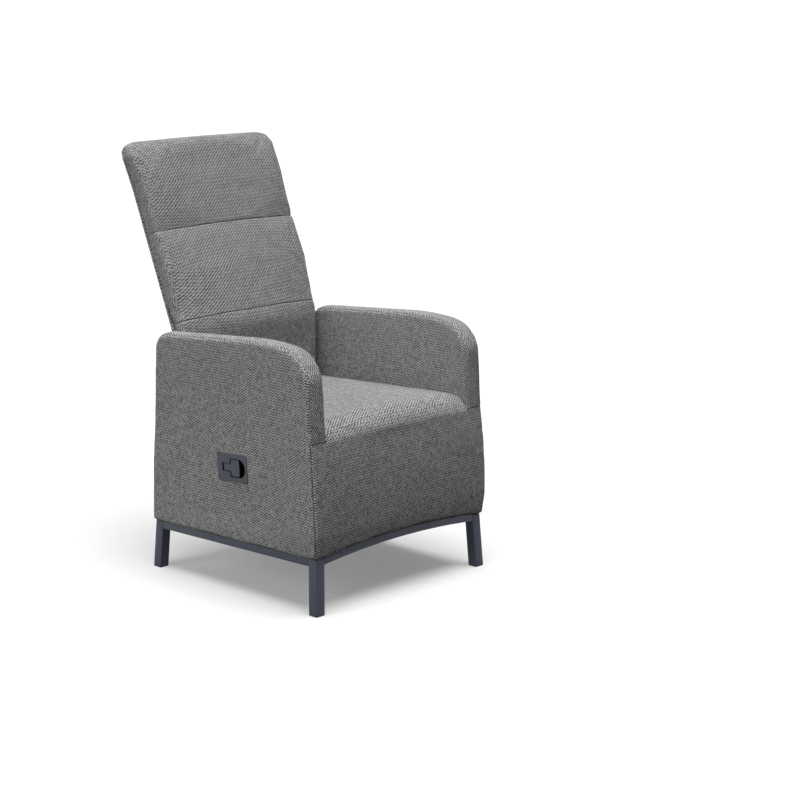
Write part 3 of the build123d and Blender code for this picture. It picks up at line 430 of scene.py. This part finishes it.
def outer_space(front, top, side):
    """The space outside an end pad's mitre, as far in as the seat's side."""
    sign = 1 if front else -1
    y = body_edge(front, SKIRT_Z)
    near = SIDE + CLEAR - GAP
    far = SIDE - PAD - GAP
    corners = [
        (near, y - sign * CLEAR),
        (far, y + sign * PAD),
        (INNER, y + sign * PAD),
        (INNER, y + sign * INWARD),
        (BEYOND, y + sign * INWARD),
        (BEYOND, y - sign * CLEAR),
    ]
    return prism([(side * x, y) for x, y in corners], SKIRT_Z, top, sign * LEAN)


def press_seam(bm, point, normal, where, width, depth):
    """Presses a stitched groove into the surface along a plane, where the test holds."""
    normal = Vector(normal).normalized()
    point = Vector(point)
    for share in SEAM_CUTS:
        near = []
        for f in bm.faces:
            middle = f.calc_center_median()
            if where(middle) and abs((middle - point).dot(normal)) < SEAM_REACH:
                near.append(f)
        edges = dict.fromkeys(e for f in near for e in f.edges)
        verts = dict.fromkeys(v for f in near for v in f.verts)
        geom = [*verts, *edges, *near]
        place = point + normal * width * share
        bmesh.ops.bisect_plane(bm, geom=geom, plane_co=place, plane_no=normal, dist=0.0001)
    bm.normal_update()
    moves = []
    for v in bm.verts:
        away = abs((v.co - point).dot(normal))
        if away < width and where(v.co):
            share = 1 - away / width
            moves.append((v, v.normal * -depth * share * share))
    for v, move in moves:
        v.co += move


def mirrored(bm):
    """The same shape on the other side of the chair."""
    bmesh.ops.scale(bm, vec=(-1, 1, 1), verts=bm.verts)
    bmesh.ops.reverse_faces(bm, faces=bm.faces)
    return bm


def in_back(co):
    """A point in the backrest's frame: across, along its rear face from the bend, and ahead."""
    y = co.y - REAR_FACE_Y
    z = co.z - BEND_Z
    if z < -y * tan(RECLINE / 2):
        return Vector((co.x, z, -y))
    along = y * sin(RECLINE) + z * cos(RECLINE)
    ahead = -y * cos(RECLINE) + z * sin(RECLINE)
    return Vector((co.x, along, ahead))


def lay_cloth(bm, tilt, crosswise):
    """Lays the weave on each face from the side that it faces, in metres.

    crosswise says where the cloth is cut across its length.
    """
    layer = bm.loops.layers.uv.new("weave")
    turn = Matrix.Rotation(-tilt, 3, "X")
    bm.normal_update()
    for face in bm.faces:
        normal = turn @ face.normal
        ax, ay, az = abs(normal.x), abs(normal.y), abs(normal.z)
        across = crosswise(face.calc_center_median(), normal)
        for loop in face.loops:
            co = turn @ loop.vert.co
            if ax >= ay and ax >= az:
                place = (co.y + 3, co.z)
            elif ay >= az:
                place = (co.x, co.z + 2)
            else:
                place = (co.x + 5, co.y)
            loop[layer].uv = (place[1], place[0]) if across else place


def cover(bm, name, body, nodes, tilt=0.0, crosswise=lambda co, normal: False):
    """Makes a finished fabric piece that stands for its nodes."""
    bmesh.ops.remove_doubles(bm, verts=bm.verts, dist=0.00005)
    lay_cloth(bm, tilt, crosswise)
    piece = smooth_object(bm, name, 60)
    piece.data.materials.append(woven_fabric())
    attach(piece, body)
    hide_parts(*nodes)


# Materials
class Shade:
    """Writes the nodes of one new material, or of the world that is given."""

    def __init__(self, name, world=None):
        self.material = world or bpy.data.materials.new(name)
        self.material.use_nodes = True
        self.tree = self.material.node_tree
        self.surface = self.tree.nodes["Background" if world else "Principled BSDF"]

    def feed(self, socket, value):
        """Gives a socket its number or link."""
        if isinstance(value, bpy.types.NodeSocket):
            self.tree.links.new(value, socket)
        else:
            socket.default_value = value

    def add(self, kind, values=None, **fields):
        """A node; values are its sockets' numbers or links, by name or index."""
        node = self.tree.nodes.new("ShaderNode" + kind)
        for key, value in fields.items():
            setattr(node, key, value)
        for key, value in (values or {}).items():
            self.feed(node.inputs[key], value)
        return node

    def math(self, operation, a, b=0.0):
        """The result of one sum on values or links."""
        return self.add("Math", {0: a, 1: b}, operation=operation).outputs[0]

    def mix(self, factor, a, b):
        """A colour between two, each a link or three numbers."""
        node = self.add("Mix", {0: factor}, data_type="RGBA")
        for key, value in (("A", a), ("B", b)):
            socket = [s for s in node.inputs if s.name == key and s.type == "RGBA"][0]
            self.feed(socket, (*value, 1) if isinstance(value, tuple) else value)
        return [s for s in node.outputs if s.type == "RGBA"][0]

    def span(self, value, limits):
        """A value put between limits: From Min, From Max, To Min and To Max, 0 or 1 if left out."""
        return self.add("MapRange", {"Value": value, **limits}).outputs[0]

    def parts(self, vector):
        """The X, Y and Z of a vector."""
        return self.add("SeparateXYZ", {0: vector}).outputs

    def seen(self):
        """1 where the camera looks, straight or by way of gloss or glass, and 0 elsewhere."""
        path = self.add("LightPath").outputs
        seen = self.math("MAXIMUM", path["Is Camera Ray"], path["Is Glossy Ray"])
        return self.math("MAXIMUM", seen, path["Is Transmission Ray"])

    def place(self, source="Object", scale=(1, 1, 1)):
        """Object or UV coordinates through a Mapping node."""
        coords = self.add("TexCoord").outputs[source]
        return self.add("Mapping", {"Vector": coords, "Scale": scale}).outputs[0]

    def noise(self, vector, scale, detail):
        """Smooth noise, from 0 to 1."""
        return self.add("TexNoise", {"Vector": vector, "Scale": scale, "Detail": detail}).outputs[0]

    def bump(self, height, distance, strength):
        """Raises the surface by a height."""
        node = self.add("Bump", {"Height": height, "Distance": distance, "Strength": strength})
        self.tree.links.new(node.outputs[0], self.surface.inputs["Normal"])

    def set(self, **values):
        """Sets the surface's own sockets, with _ for a space in a name."""
        for key, value in values.items():
            self.feed(self.surface.inputs[key.replace("_", " ")], value)


def tinted(colour, factor):
    """A colour made paler or darker."""
    return tuple(c * factor for c in colour)


def woven_fabric():
    """Grey garden fabric: a herringbone of light and dark threads with a lively fleck."""
    found = bpy.data.materials.get("woven fabric")
    if found:
        return found
    settings = bpy.context.scene.upholstery
    shade = Shade("woven fabric")
    weave = shade.place("UV")
    across, along, _ = shade.parts(weave)
    column = settings.column_width
    rib = 1.3 * column
    pitch = settings.thread_pitch
    slant = shade.math("ADD", shade.math("PINGPONG", across, column), along)
    bone = shade.math("SINE", shade.math("MULTIPLY", slant, 2 * pi / rib))
    groove = shade.math("COSINE", shade.math("MULTIPLY", across, 2 * pi / column))
    threads = shade.place("UV", (1 / pitch, 0.7 / pitch, 1))
    cells = shade.add("TexVoronoi", {"Vector": threads, "Scale": 1.0})
    fleck = shade.add("SeparateColor", {0: cells.outputs["Color"]}).outputs[0]
    streak = shade.noise(shade.place("UV", (300, 60, 1)), 1.0, 1.0)
    cloud = shade.noise(weave, 30.0, 3.0)
    total = shade.math("MULTIPLY", bone, 0.45)
    for pattern, share in ((groove, 0.08), (fleck, 0.48), (streak, 0.20), (cloud, 0.06)):
        total = shade.math("ADD", total, shade.math("MULTIPLY", pattern, share))
    light = shade.span(total, {"From Min": -0.02, "From Max": 0.76})
    colour = shade.mix(light, tuple(settings.dark_thread), tuple(settings.light_thread))
    shade.bump(shade.math("ADD", bone, fleck), 0.00025, 0.4)
    shade.set(Base_Color=colour, Roughness=0.92, Specular_IOR_Level=0.06)
    shade.set(Sheen_Weight=0.04, Sheen_Roughness=0.5)
    return shade.material


def powder_coat(name, colour, roughness=0.48, grain=0.00012):
    """Satin paint baked on metal, with a fine orange peel and a slightly uneven tone."""
    shade = Shade(name)
    place = shade.place()
    peel = shade.noise(place, 900.0, 2.0)
    tone = shade.noise(place, 14.0, 3.0)
    lighter = tuple(min(1, c * 1.22 + 0.004) for c in colour)
    shade.bump(peel, grain, 0.5)
    rough = shade.span(tone, {"To Min": roughness - 0.06, "To Max": roughness + 0.08})
    shade.set(Base_Color=shade.mix(tone, tinted(colour, 0.82), lighter), Roughness=rough)
    return shade.material


def moulded_plastic(name, colour, roughness=0.5, shade_from=None):
    """Moulded plastic with a fine grained skin, and painted deep shade, nearly black, where X is
    over shade_from.
    """
    shade = Shade(name)
    place = shade.place()
    grain = shade.add("TexVoronoi", {"Vector": place, "Scale": 1400.0}).outputs["Distance"]
    tone = shade.noise(place, 40.0, 2.0)
    skin = shade.mix(tone, tinted(colour, 0.9), tinted(colour, 1.12))
    if shade_from is not None:
        # painted shade: past shade_from the skin is painted nearly black, as a recess or gap in
        # shadow
        limits = {"From Min": shade_from, "From Max": shade_from + 0.0006}
        deep = shade.span(shade.parts(place)[0], limits)
        skin = shade.mix(deep, skin, tinted(colour, 0.06))
    shade.bump(grain, 0.00008, 0.5)
    shade.set(Base_Color=skin, Roughness=roughness)
    return shade.material


def bare_metal(name, colour, roughness, brushed):
    """Plated or polished metal with faint streaks along Y."""
    shade = Shade(name)
    streaks = shade.noise(shade.place("Object", (900, 40, 900)), 1.0, 2.0)
    clouds = shade.noise(shade.place(), 60.0, 2.0)
    tint = shade.mix(clouds, tinted(colour, 0.86), colour)
    rough = shade.span(streaks, {"To Min": roughness, "To Max": roughness + brushed})
    shade.bump(streaks, 0.00003, 0.4)
    shade.set(Base_Color=tint, Metallic=1.0, Roughness=rough)
    return shade.material


def strap_weave():
    """Black elastic webbing with fine crossed ribs, 2.4 mm apart."""
    shade = Shade("elastic webbing")
    turns = 2 * pi / 0.0024
    x, y, _ = shade.parts(shade.place())
    ribs_x = shade.math("SINE", shade.math("MULTIPLY", x, turns))
    ribs_y = shade.math("SINE", shade.math("MULTIPLY", y, turns))
    weave = shade.math("MULTIPLY", ribs_x, ribs_y)
    light = shade.span(weave, {"From Min": -1.0, "From Max": 1.0})
    black = shade.mix(light, (0.012, 0.012, 0.013), (0.055, 0.055, 0.058))
    shade.bump(light, 0.0004, 0.7)
    shade.set(Base_Color=black, Roughness=0.8)
    return shade.material


# Operators
class ARMCHAIR_OT_arms(bpy.types.Operator):
    """Shape the padded sides with their arms, each one cover over its side frame"""

    bl_idname = "armchair.arms"
    bl_label = "Arms"

    def execute(self, context):
        settings = context.scene.upholstery
        ends = node_copy("front_apron", "rear_panel")
        keep_part(ends, (SIDE - 0.12, 0, 0), (-1, 0, 0))
        bm = gathered(node_copy("side_panel_left", "arm_band_left", "arm_inner_panel_left"), ends)
        bm = even_net(bm, settings.net_size)
        bm = softened(bm, settings.softness, at_foot)
        bm = subdivided(bm)
        stuff_corners(bm, settings)
        cutters = [end_space(front, top + GAP) for front, top in ENDS]
        bm = without(bm, *cutters)
        stitch_side(bm, settings)
        right = without(mirrored(bm.copy()), lever_hole())
        for side, shape in (("left", bm), ("right", right)):
            nodes = [f"{node}_{side}" for node in ("side_panel", "arm_band", "arm_inner_panel")]
            cover(shape, f"{side}_arm_cover", "chair", nodes, crosswise=on_band)
        return {"FINISHED"}


def on_band(co, normal):
    """Whether a face belongs to the strip that runs over the arm's front, top and rear."""
    return INNER + BAND_EDGE < abs(co.x) < SIDE - BAND_EDGE and abs(normal.x) < 0.7


def at_foot(co):
    """How firmly a cover is held near its lower edge."""
    return max(0.0, min(0.85, 1 - (co.z - BODY_FOOT) / 0.02))


def lever_hole():
    """The opening for the lever housing's tub, tilted as the housing is."""
    low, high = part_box("lever_housing")
    middle = (low + high) / 2
    turn = Matrix.Rotation(LEVER_TILT, 3, "X")
    bm = bmesh.new()
    bmesh.ops.create_cube(bm, size=1)
    bmesh.ops.scale(bm, vec=(0.09, 0.092, 0.054), verts=bm.verts)
    bmesh.ops.rotate(bm, cent=(0, 0, 0), matrix=turn, verts=bm.verts)
    bmesh.ops.translate(bm, vec=(low.x, middle.y - 0.006, middle.z), verts=bm.verts)
    return bm


def stitch_side(bm, settings):
    """Presses the seams of the left arm: the arm's band, its lower ends and the corners."""
    width = settings.seam_width
    depth = settings.seam_depth

    def on_arm(co):
        return co.z > (FRONT_SEAM if co.y < MIDDLE_Y else REAR_SEAM)

    for x in (SIDE - BAND_SEAM, INNER + BAND_SEAM):
        press_seam(bm, (x, 0, 0), (1, 0, 0), on_arm, width * 0.7, depth)
    for front, top in ENDS:
        stitch_corner(bm, front, 1, top, settings)
        edge = body_edge(front, top)

        def on_end(co):
            return abs(co.y - edge) < 0.012

        press_seam(bm, (0, 0, top), (0, 0, 1), on_end, width, depth * 0.7)


def stitch_corner(bm, front, side, top, settings):
    """Presses the seam that runs up one corner of the body."""
    point, normal = mitre(front, side)

    def at_corner(co):
        return co.z < top and co.x * side > SIDE - PAD

    press_seam(bm, point, normal, at_corner, settings.seam_width, settings.seam_depth)


def mitre(front, side):
    """A point and the normal of the mitre plane at a corner of the body."""
    sign = 1 if front else -1
    point = Vector((side * SIDE, body_edge(front, MITRE_Z), MITRE_Z))
    upright = Vector((0, sign * LEAN, 1))
    inward = Vector((-side, sign, 0))
    return point, upright.cross(inward).normalized()


def end_strips(front, top):
    """The ends of both sides' covers, to join the end pad to while it is shaped."""
    sign = 1 if front else -1
    parts = []
    for side in BOTH_SIDES:
        bm = node_copy("side_panel_left", "arm_band_left")
        y = body_edge(front, 0.2) + sign * STRIP_DEPTH
        keep_part(bm, (0, y, 0), (0, sign, 0))
        keep_part(bm, (0, 0, top + STRIP_RISE), (0, 0, 1))
        keep_part(bm, (INNER + STRIP_WIDTH, 0, 0), (-1, 0, 0))
        parts.append(bm if side == 1 else mirrored(bm))
    return parts


def upper_space(top, side):
    """The space above an end pad's top, outside the seat's side."""
    corners = [(INNER, -1), (1, -1), (1, 1), (INNER, 1)]
    return prism([(side * x, y) for x, y in corners], top, 1.0)


def trimmed(bm, front, top):
    """An end pad without its strips, cut along the seams that it shares with the sides."""
    cutters = [upper_space(top - GAP, side) for side in BOTH_SIDES]
    cutters += [outer_space(front, top + 0.001, side) for side in BOTH_SIDES]
    return without(bm, *cutters)


def away_from_roll(co):
    """How little a point takes part in the seat's rolled front edge."""
    edge = Vector((0, body_edge(True, FRONT_SEAM), FRONT_SEAM + 0.03))
    away = (Vector((0, co.y, co.z)) - edge).length
    side = ramp(abs(co.x), SEAT_HALF - 0.01, SEAT_HALF + 0.002)
    return min(1, max(0, (away - 0.08) / 0.03, side))


def roll_front(bm, radius):
    """Rolls the cover over the seat's front edge, down to the apron."""
    edge = body_edge(True, SEAT_UNDERSIDE)

    def crest(low, high):
        return max(v.co.z for v in bm.verts
                   if low < abs(v.co.x) < high and edge + 0.03 < v.co.y < edge + 0.09)

    middle = crest(0, 0.02)
    fall = middle - crest(SEAT_HALF - 0.04, SEAT_HALF - 0.02)
    foot = middle - radius
    face = min(v.co.y for v in bm.verts if abs(v.co.z - foot) < 0.01 and abs(v.co.x) < 0.2)
    for v in bm.verts:
        if v.co.z > foot - 0.02 and abs(v.co.x) < SEAT_HALF + 0.001:
            top = middle - fall * (v.co.x / (SEAT_HALF - 0.03)) ** 2
            centre = Vector((v.co.x, face + (top - middle) * LEAN + radius, top - radius))
            arm = v.co - centre
            if arm.y < 0 < arm.z and arm.length > radius:
                share = 1
                if v.co.z <= FRONT_SEAM:
                    share -= ramp(abs(v.co.x), SEAT_HALF - 0.04, SEAT_HALF)
                v.co = v.co.lerp(centre + arm.normalized() * radius, share)


class ARMCHAIR_OT_seat(bpy.types.Operator):
    """Shape the seat cushion, whose cover runs over the front edge into the apron"""

    bl_idname = "armchair.seat"
    bl_label = "Seat"

    def execute(self, context):
        settings = context.scene.upholstery
        bm = gathered(node_copy("seat_cushion", "front_apron"), *end_strips(True, FRONT_SEAM))
        bm = even_net(bm, settings.net_size)
        bm = softened(bm, settings.softness, at_foot)

        apron = body_edge(True, SEAT_UNDERSIDE)

        def held(co):
            beside = abs(co.x) > SEAT_HALF - 0.004
            low = co.z < BODY_FOOT + 0.012
            behind = co.z < SEAT_UNDERSIDE and co.y > apron + 0.004
            return beside or low or behind

        bm = inflated(bm, held, settings.seat_swell)
        roll_front(bm, settings.roll_radius)
        bm = softened(bm, 20, away_from_roll)
        bm = subdivided(bm)
        stuff_corners(bm, settings)
        bm = trimmed(bm, True, FRONT_SEAM)
        for v in bm.verts:
            if v.co.z > FRONT_SEAM - GAP / 2 or v.co.y > apron + PAD:
                v.co.x = max(-SEAT_HALF, min(SEAT_HALF, v.co.x))
        for side in BOTH_SIDES:
            stitch_corner(bm, True, side, FRONT_SEAM, settings)

        def below_arms(co):
            return abs(co.x) > INNER

        press_seam(bm, (0, 0, FRONT_SEAM), (0, 0, 1), below_arms,
                   settings.seam_width, settings.seam_depth * 0.7)
        cover(bm, "seat_cover", "chair", ["seat_cushion", "front_apron"])
        return {"FINISHED"}


class ARMCHAIR_OT_rear_panel(bpy.types.Operator):
    """Shape the padded rear panel between the two sides"""

    bl_idname = "armchair.rear_panel"
    bl_label = "Rear panel"

    def execute(self, context):
        settings = context.scene.upholstery
        bm = gathered(node_copy("rear_panel"), *end_strips(False, REAR_SEAM))
        bm = even_net(bm, settings.net_size)
        bm = softened(bm, settings.softness, at_foot)
        bm = subdivided(bm)
        bm = trimmed(bm, False, REAR_SEAM)
        for side in BOTH_SIDES:
            stitch_corner(bm, False, side, REAR_SEAM, settings)
        cover(bm, "rear_panel_cover", "chair", ["rear_panel"])
        return {"FINISHED"}


def foam_front(height):
    """How far ahead of the backrest's rear face the foam's front face is at a height."""
    return FOAM_DEPTH - FOAM_TAPER * height


def fill_channels(bm):
    """Fills the foam's own wide channels, so that fine seams can be pressed instead."""
    for v in bm.verts:
        place = in_back(v.co)
        dip = max(1 - abs(place.y - channel) / CHANNEL_WIDTH for channel in CHANNEL_HEIGHTS)
        front = foam_front(place.y)
        if dip > 0:
            v.co += AHEAD * CHANNEL_DEPTH * dip * ramp(place.z, front - 0.012, front - 0.005)


def stuff_back(bm, top, settings):
    """Stuffs the backrest fuller towards its front, its sides and its top corners."""
    for v in bm.verts:
        place = in_back(v.co)
        height = max(0, v.co.z - BEND_Z - 0.014) / cos(RECLINE)
        full = settings.back_fullness * ramp(place.z, FULL_AHEAD, foam_front(height) - 0.004)
        full *= ramp(v.co.z, *FULL_RISE)
        side = ramp(abs(v.co.x), *WIDE_ACROSS) * ramp(place.y, *WIDE_ALONG)
        v.co += AHEAD * full + ALONG * settings.back_rise * ramp(place.y, TOP_START, top)
        corner = ramp(abs(v.co.x), *TOP_CORNER_ACROSS) * ramp(place.y, top - 0.12, top - 0.01)
        corner *= TOP_CORNER_REAR + TOP_CORNER_MORE * ramp(place.z, *TOP_CORNER_AHEAD)
        wider = full * side * WIDE_SHARE + corner
        v.co.x += wider if v.co.x > 0 else -wider


def stuff_corners(bm, settings):
    """Stuffs the body's front corners fuller, sideways and forwards."""
    for v in bm.verts:
        full = settings.corner_fullness * ramp(-v.co.y, *BODY_CORNER_FORWARD)
        full *= ramp(v.co.z, BODY_FOOT, 0.20)
        side = ramp(abs(v.co.x), *BODY_CORNER_ACROSS) * full
        v.co.x += side if v.co.x > 0 else -side
        v.co.y -= full * BODY_CORNER_SHARE * ramp(-v.co.y, *BODY_CORNER_FACE)


class ARMCHAIR_OT_backrest(bpy.types.Operator):
    """Shape the backrest cushion with its two stitched channels"""

    bl_idname = "armchair.backrest"
    bl_label = "Backrest"

    def execute(self, context):
        settings = context.scene.upholstery
        bm = even_net(node_copy("back_cushion"), settings.net_size)
        fill_channels(bm)
        bm = softened(bm, 3)
        half = max(v.co.x for v in bm.verts)
        top = max(in_back(v.co).y for v in bm.verts)

        def held(co):
            place = in_back(co)
            sewn = any(abs(place.y - seam) < 0.004 for seam in SEAM_HEIGHTS)
            return place.z < 0.034 or sewn

        bm = inflated(bm, held, settings.back_swell)
        bm = softened(bm, 50, lambda co: ramp(abs(in_back(co).y), 0.02, 0.07))
        bm = subdivided(bm)
        stuff_back(bm, top, settings)
        top += settings.back_rise
        bend = Vector((0, REAR_FACE_Y, BEND_Z))

        def in_front(co):
            return in_back(co).z > 0.02

        for seam in SEAM_HEIGHTS:
            press_seam(bm, bend + ALONG * seam, ALONG, in_front,
                       settings.seam_width, settings.seam_depth * 1.5)

        def on_edge(co):
            place = in_back(co)
            return place.y > 0.02 and (abs(co.x) > half - 0.016 or place.y > top - 0.016)

        point = bend + AHEAD * (foam_front(0) + settings.back_fullness - 0.006)
        press_seam(bm, point, AHEAD + ALONG * FOAM_TAPER, on_edge,
                   settings.seam_width, settings.seam_depth)

        def on_wall(co, normal):
            return abs(normal.x) > 0.7

        cover(bm, "backrest_cover", "backrest", ["back_cushion"], RECLINE, on_wall)
        return {"FINISHED"}


class ARMCHAIR_OT_back_cover(bpy.types.Operator):
    """Shape the flat cover that closes the backrest behind"""

    bl_idname = "armchair.back_cover"
    bl_label = "Back cover"

    def execute(self, context):
        settings = context.scene.upholstery
        bm = even_net(node_copy("back_rear_cover"), THIN_NET)
        bm = softened(bm, 3)
        top = max(in_back(v.co).y for v in bm.verts)
        stuff_back(bm, top, settings)
        cover(bm, "back_rear_cloth", "backrest", ["back_rear_cover"], RECLINE)
        return {"FINISHED"}


def finish(node, material):
    """Gives a node of the frame its material."""
    for place in frame["nodes"][node].material_slots:
        place.material = material


def round_edges(bm, edges, radius):
    """Rounds edges in three steps."""
    bmesh.ops.bevel(bm, geom=edges, offset=radius, offset_type="OFFSET", segments=3,
                    profile=0.5, affect="EDGES", clamp_overlap=True, material=-1)


def rounded_copy(node, name, radius):
    """A copy of a node with its sharp edges rounded."""
    bm = flat_copy(node)
    bm.normal_update()
    sharp = [e for e in bm.edges if e.is_manifold and e.calc_face_angle(0) > radians(35)]
    round_edges(bm, sharp, radius)
    return smooth_object(bm, name, 40)


class ARMCHAIR_OT_base(bpy.types.Operator):
    """Round the edges of the legs and base rails and paint them"""

    bl_idname = "armchair.base"
    bl_label = "Base frame"

    def execute(self, context):
        finishes = context.scene.finishes
        paint = powder_coat("frame powder coat", tuple(finishes.frame_paint))
        nodes = [n for n in frame["nodes"] if n.startswith(("leg_", "base_rail_"))]
        for node in sorted(nodes):
            piece = rounded_copy(node, f"painted_{node}", finishes.edge_round)
            piece.data.materials.append(paint)
            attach(piece, "chair")
            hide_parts(node)
        return {"FINISHED"}


class ARMCHAIR_OT_lever(bpy.types.Operator):
    """Shape the release lever's finger plate, and paint deep shade on the tub behind it and on the
    plate's sides
    """

    bl_idname = "armchair.lever"
    bl_label = "Release lever"

    def execute(self, context):
        finishes = context.scene.finishes
        colour = tuple(finishes.lever_plastic)
        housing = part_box("lever_housing")[0].x
        # painted shade: the tub is painted nearly black from 1.4 mm inside the housing's outer face
        tub = moulded_plastic("lever housing plastic", colour, shade_from=housing + 0.0014)
        finish("lever_housing", tub)
        bm = flat_copy("lever_paddle")
        low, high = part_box("lever_paddle")
        face = low.x
        middle = (low + high) / 2
        half = (high.z - low.z) / 2
        for quarter in range(-3, 4):
            place = middle + Vector((0, 0, half * quarter / 4))
            bmesh.ops.bisect_plane(bm, geom=whole(bm), plane_co=place, plane_no=(0, 0, 1))
        plate_verts = [v for v in bm.verts if v.co.x < face + PLATE_DEPTH]
        for v in plate_verts:
            rise = (v.co.z - middle.z) / half
            forward = ramp(middle.y - v.co.y, 0.0, middle.y - low.y)
            v.co.y -= finishes.lever_bulge * forward * (1 - rise * rise)
            v.co.z = middle.z + half * rise * PLATE_NARROWING
        rim = [e for e in bm.edges if all(v.co.x < face + 0.0001 for v in e.verts)]
        rim = [e for e in rim if e.calc_face_angle(0) > radians(30)]
        round_edges(bm, rim, finishes.lever_round)
        paddle = smooth_object(bm, "lever_plate", 50)
        # painted shade: the plate is painted nearly black from 0.4 mm behind its front face, for
        # the gap round it
        skin = moulded_plastic("lever plate plastic", colour, shade_from=face + 0.0004)
        paddle.data.materials.append(skin)
        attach(paddle, "lever")
        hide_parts("lever_paddle")
        return {"FINISHED"}


class ARMCHAIR_OT_mechanism(bpy.types.Operator):
    """Give every inner part of the frame and mechanism its finish"""

    bl_idname = "armchair.mechanism"
    bl_label = "Frame and mechanism"

    def execute(self, context):
        finishes = context.scene.finishes
        inner = powder_coat("inner frame paint", tuple(finishes.inner_paint), 0.55)
        zinc = bare_metal("zinc plate", (0.56, 0.57, 0.58), 0.32, 0.2)
        chrome = bare_metal("polished rod", (0.72, 0.73, 0.75), 0.08, 0.1)
        wire = bare_metal("steel wire", (0.50, 0.50, 0.50), 0.3, 0.2)
        cast = bare_metal("cast head", (0.45, 0.46, 0.48), 0.5, 0.15)
        cylinder = powder_coat("cylinder paint", (0.013, 0.013, 0.014), 0.3, 0.00003)
        glide = moulded_plastic("glide plastic", (0.018, 0.018, 0.019), 0.6)
        nylon = moulded_plastic("bush nylon", (0.62, 0.61, 0.57), 0.45)
        sheath = moulded_plastic("cable sheath", (0.015, 0.015, 0.016), 0.42)
        finish_of = {
            "inner_paint": inner, "zinc_steel": zinc, "rod_chrome": chrome, "wire_steel": wire,
            "head_metal": cast, "cylinder_paint": cylinder, "glide_plastic": glide,
            "bush_plastic": nylon, "cable_sheath": sheath, "webbing": strap_weave(),
        }
        for entry in frame["record"]["subparts"]:
            if entry["material_slot"] in finish_of:
                finish(entry["node"], finish_of[entry["material_slot"]])
        return {"FINISHED"}


class ARMCHAIR_OT_stage(bpy.types.Operator):
    """Set up the floor, the soft light and the camera"""

    bl_idname = "armchair.stage"
    bl_label = "Studio"

    def execute(self, context):
        studio = context.scene.studio
        bm = bmesh.new()
        bmesh.ops.create_grid(bm, x_segments=1, y_segments=1, size=FLOOR_SIZE)
        floor = new_object(bm, "studio_floor")
        floor.data.materials.append(floor_material(tuple(studio.floor_colour)))
        light_world()
        for name, turn, strength, spread in LAMPS:
            sun(name, turn, strength, spread)
        data = bpy.data.cameras.new("photo_camera")
        data.lens = studio.focal_length
        data.sensor_width = SENSOR_WIDTH
        data.clip_end = 400
        camera = bpy.data.objects.new("photo_camera", data)
        camera.location = CAMERA_PLACE
        camera.rotation_euler = [radians(turn) for turn in CAMERA_TURN]
        context.scene.collection.objects.link(camera)
        context.scene.camera = camera
        context.scene.view_settings.view_transform = "Standard"
        return {"FINISHED"}


def sun(name, turn, strength, spread):
    """A broad soft light from far away, with its turn and spread in degrees."""
    data = bpy.data.lights.new(name, "SUN")
    data.energy = strength
    data.angle = radians(spread)
    lamp = bpy.data.objects.new(name, data)
    lamp.rotation_euler = [radians(angle) for angle in turn]
    bpy.context.scene.collection.objects.link(lamp)


def light_world():
    """Surroundings that are brightest overhead, and plain white where the camera sees them."""
    world = bpy.data.worlds.new("studio")
    bpy.context.scene.world = world
    shade = Shade("studio", world)
    seen = shade.seen()
    up = shade.parts(shade.add("TexCoord").outputs["Generated"])[2]
    overhead = shade.span(up, {"To Min": 0.0, "To Max": OVERHEAD_LIGHT})
    level = shade.math("MAXIMUM", seen, overhead)
    shade.set(Color=(1, 1, 1, 1), Strength=level)


def floor_material(colour):
    """Plain floor, white to the camera where no shadow falls, that throws little light back."""
    shade = Shade("studio floor")
    seen = shade.seen()
    tone = shade.noise(shade.place(), 3.0, 1.0)
    pale = shade.mix(tone, tinted(colour, 0.99), colour)
    unseen = (0.04, 0.04, 0.045)
    glow = shade.math("MULTIPLY", seen, FLOOR_GLOW)
    shade.set(Base_Color=shade.mix(seen, unseen, pale), Roughness=0.95, Specular_IOR_Level=0.0)
    shade.set(Emission_Color=(1, 1, 1, 1), Emission_Strength=glow)
    return shade.material


class ARMCHAIR_PT_sidebar(bpy.types.Panel):
    """Lists the steps that build the armchair"""

    bl_label = "Reclining armchair"
    bl_idname = "ARMCHAIR_PT_sidebar"
    bl_space_type = "VIEW_3D"
    bl_region_type = "UI"
    bl_category = "Armchair"

    def draw(self, context):
        for operator in STEPS:
            self.layout.operator(operator.bl_idname)
        for name in SETTINGS:
            group = getattr(context.scene, name)
            box = self.layout.box()
            for key in group.bl_rna.properties.keys():
                if key not in ("rna_type", "name"):
                    box.prop(group, key)


STEPS = (
    ARMCHAIR_OT_stage,
    ARMCHAIR_OT_mechanism,
    ARMCHAIR_OT_base,
    ARMCHAIR_OT_lever,
    ARMCHAIR_OT_arms,
    ARMCHAIR_OT_seat,
    ARMCHAIR_OT_rear_panel,
    ARMCHAIR_OT_backrest,
    ARMCHAIR_OT_back_cover,
)
SETTINGS = {
    "upholstery": UpholsterySettings,
    "finishes": FinishSettings,
    "studio": StudioSettings,
}
CLASSES = (*SETTINGS.values(), *STEPS, ARMCHAIR_PT_sidebar)


def register():
    """Registers the settings, steps and sidebar."""
    for cls in CLASSES:
        bpy.utils.register_class(cls)
    for name, group in SETTINGS.items():
        setattr(bpy.types.Scene, name, bpy.props.PointerProperty(type=group))


def unregister():
    """Takes the settings, steps and sidebar out again."""
    for name in SETTINGS:
        delattr(bpy.types.Scene, name)
    for cls in reversed(CLASSES):
        bpy.utils.unregister_class(cls)


def main():
    """Builds the armchair, one step after another."""
    register()
    for operator in STEPS:
        group, name = operator.bl_idname.split(".")
        getattr(getattr(bpy.ops, group), name)()


if __name__ == "__main__":
    main()
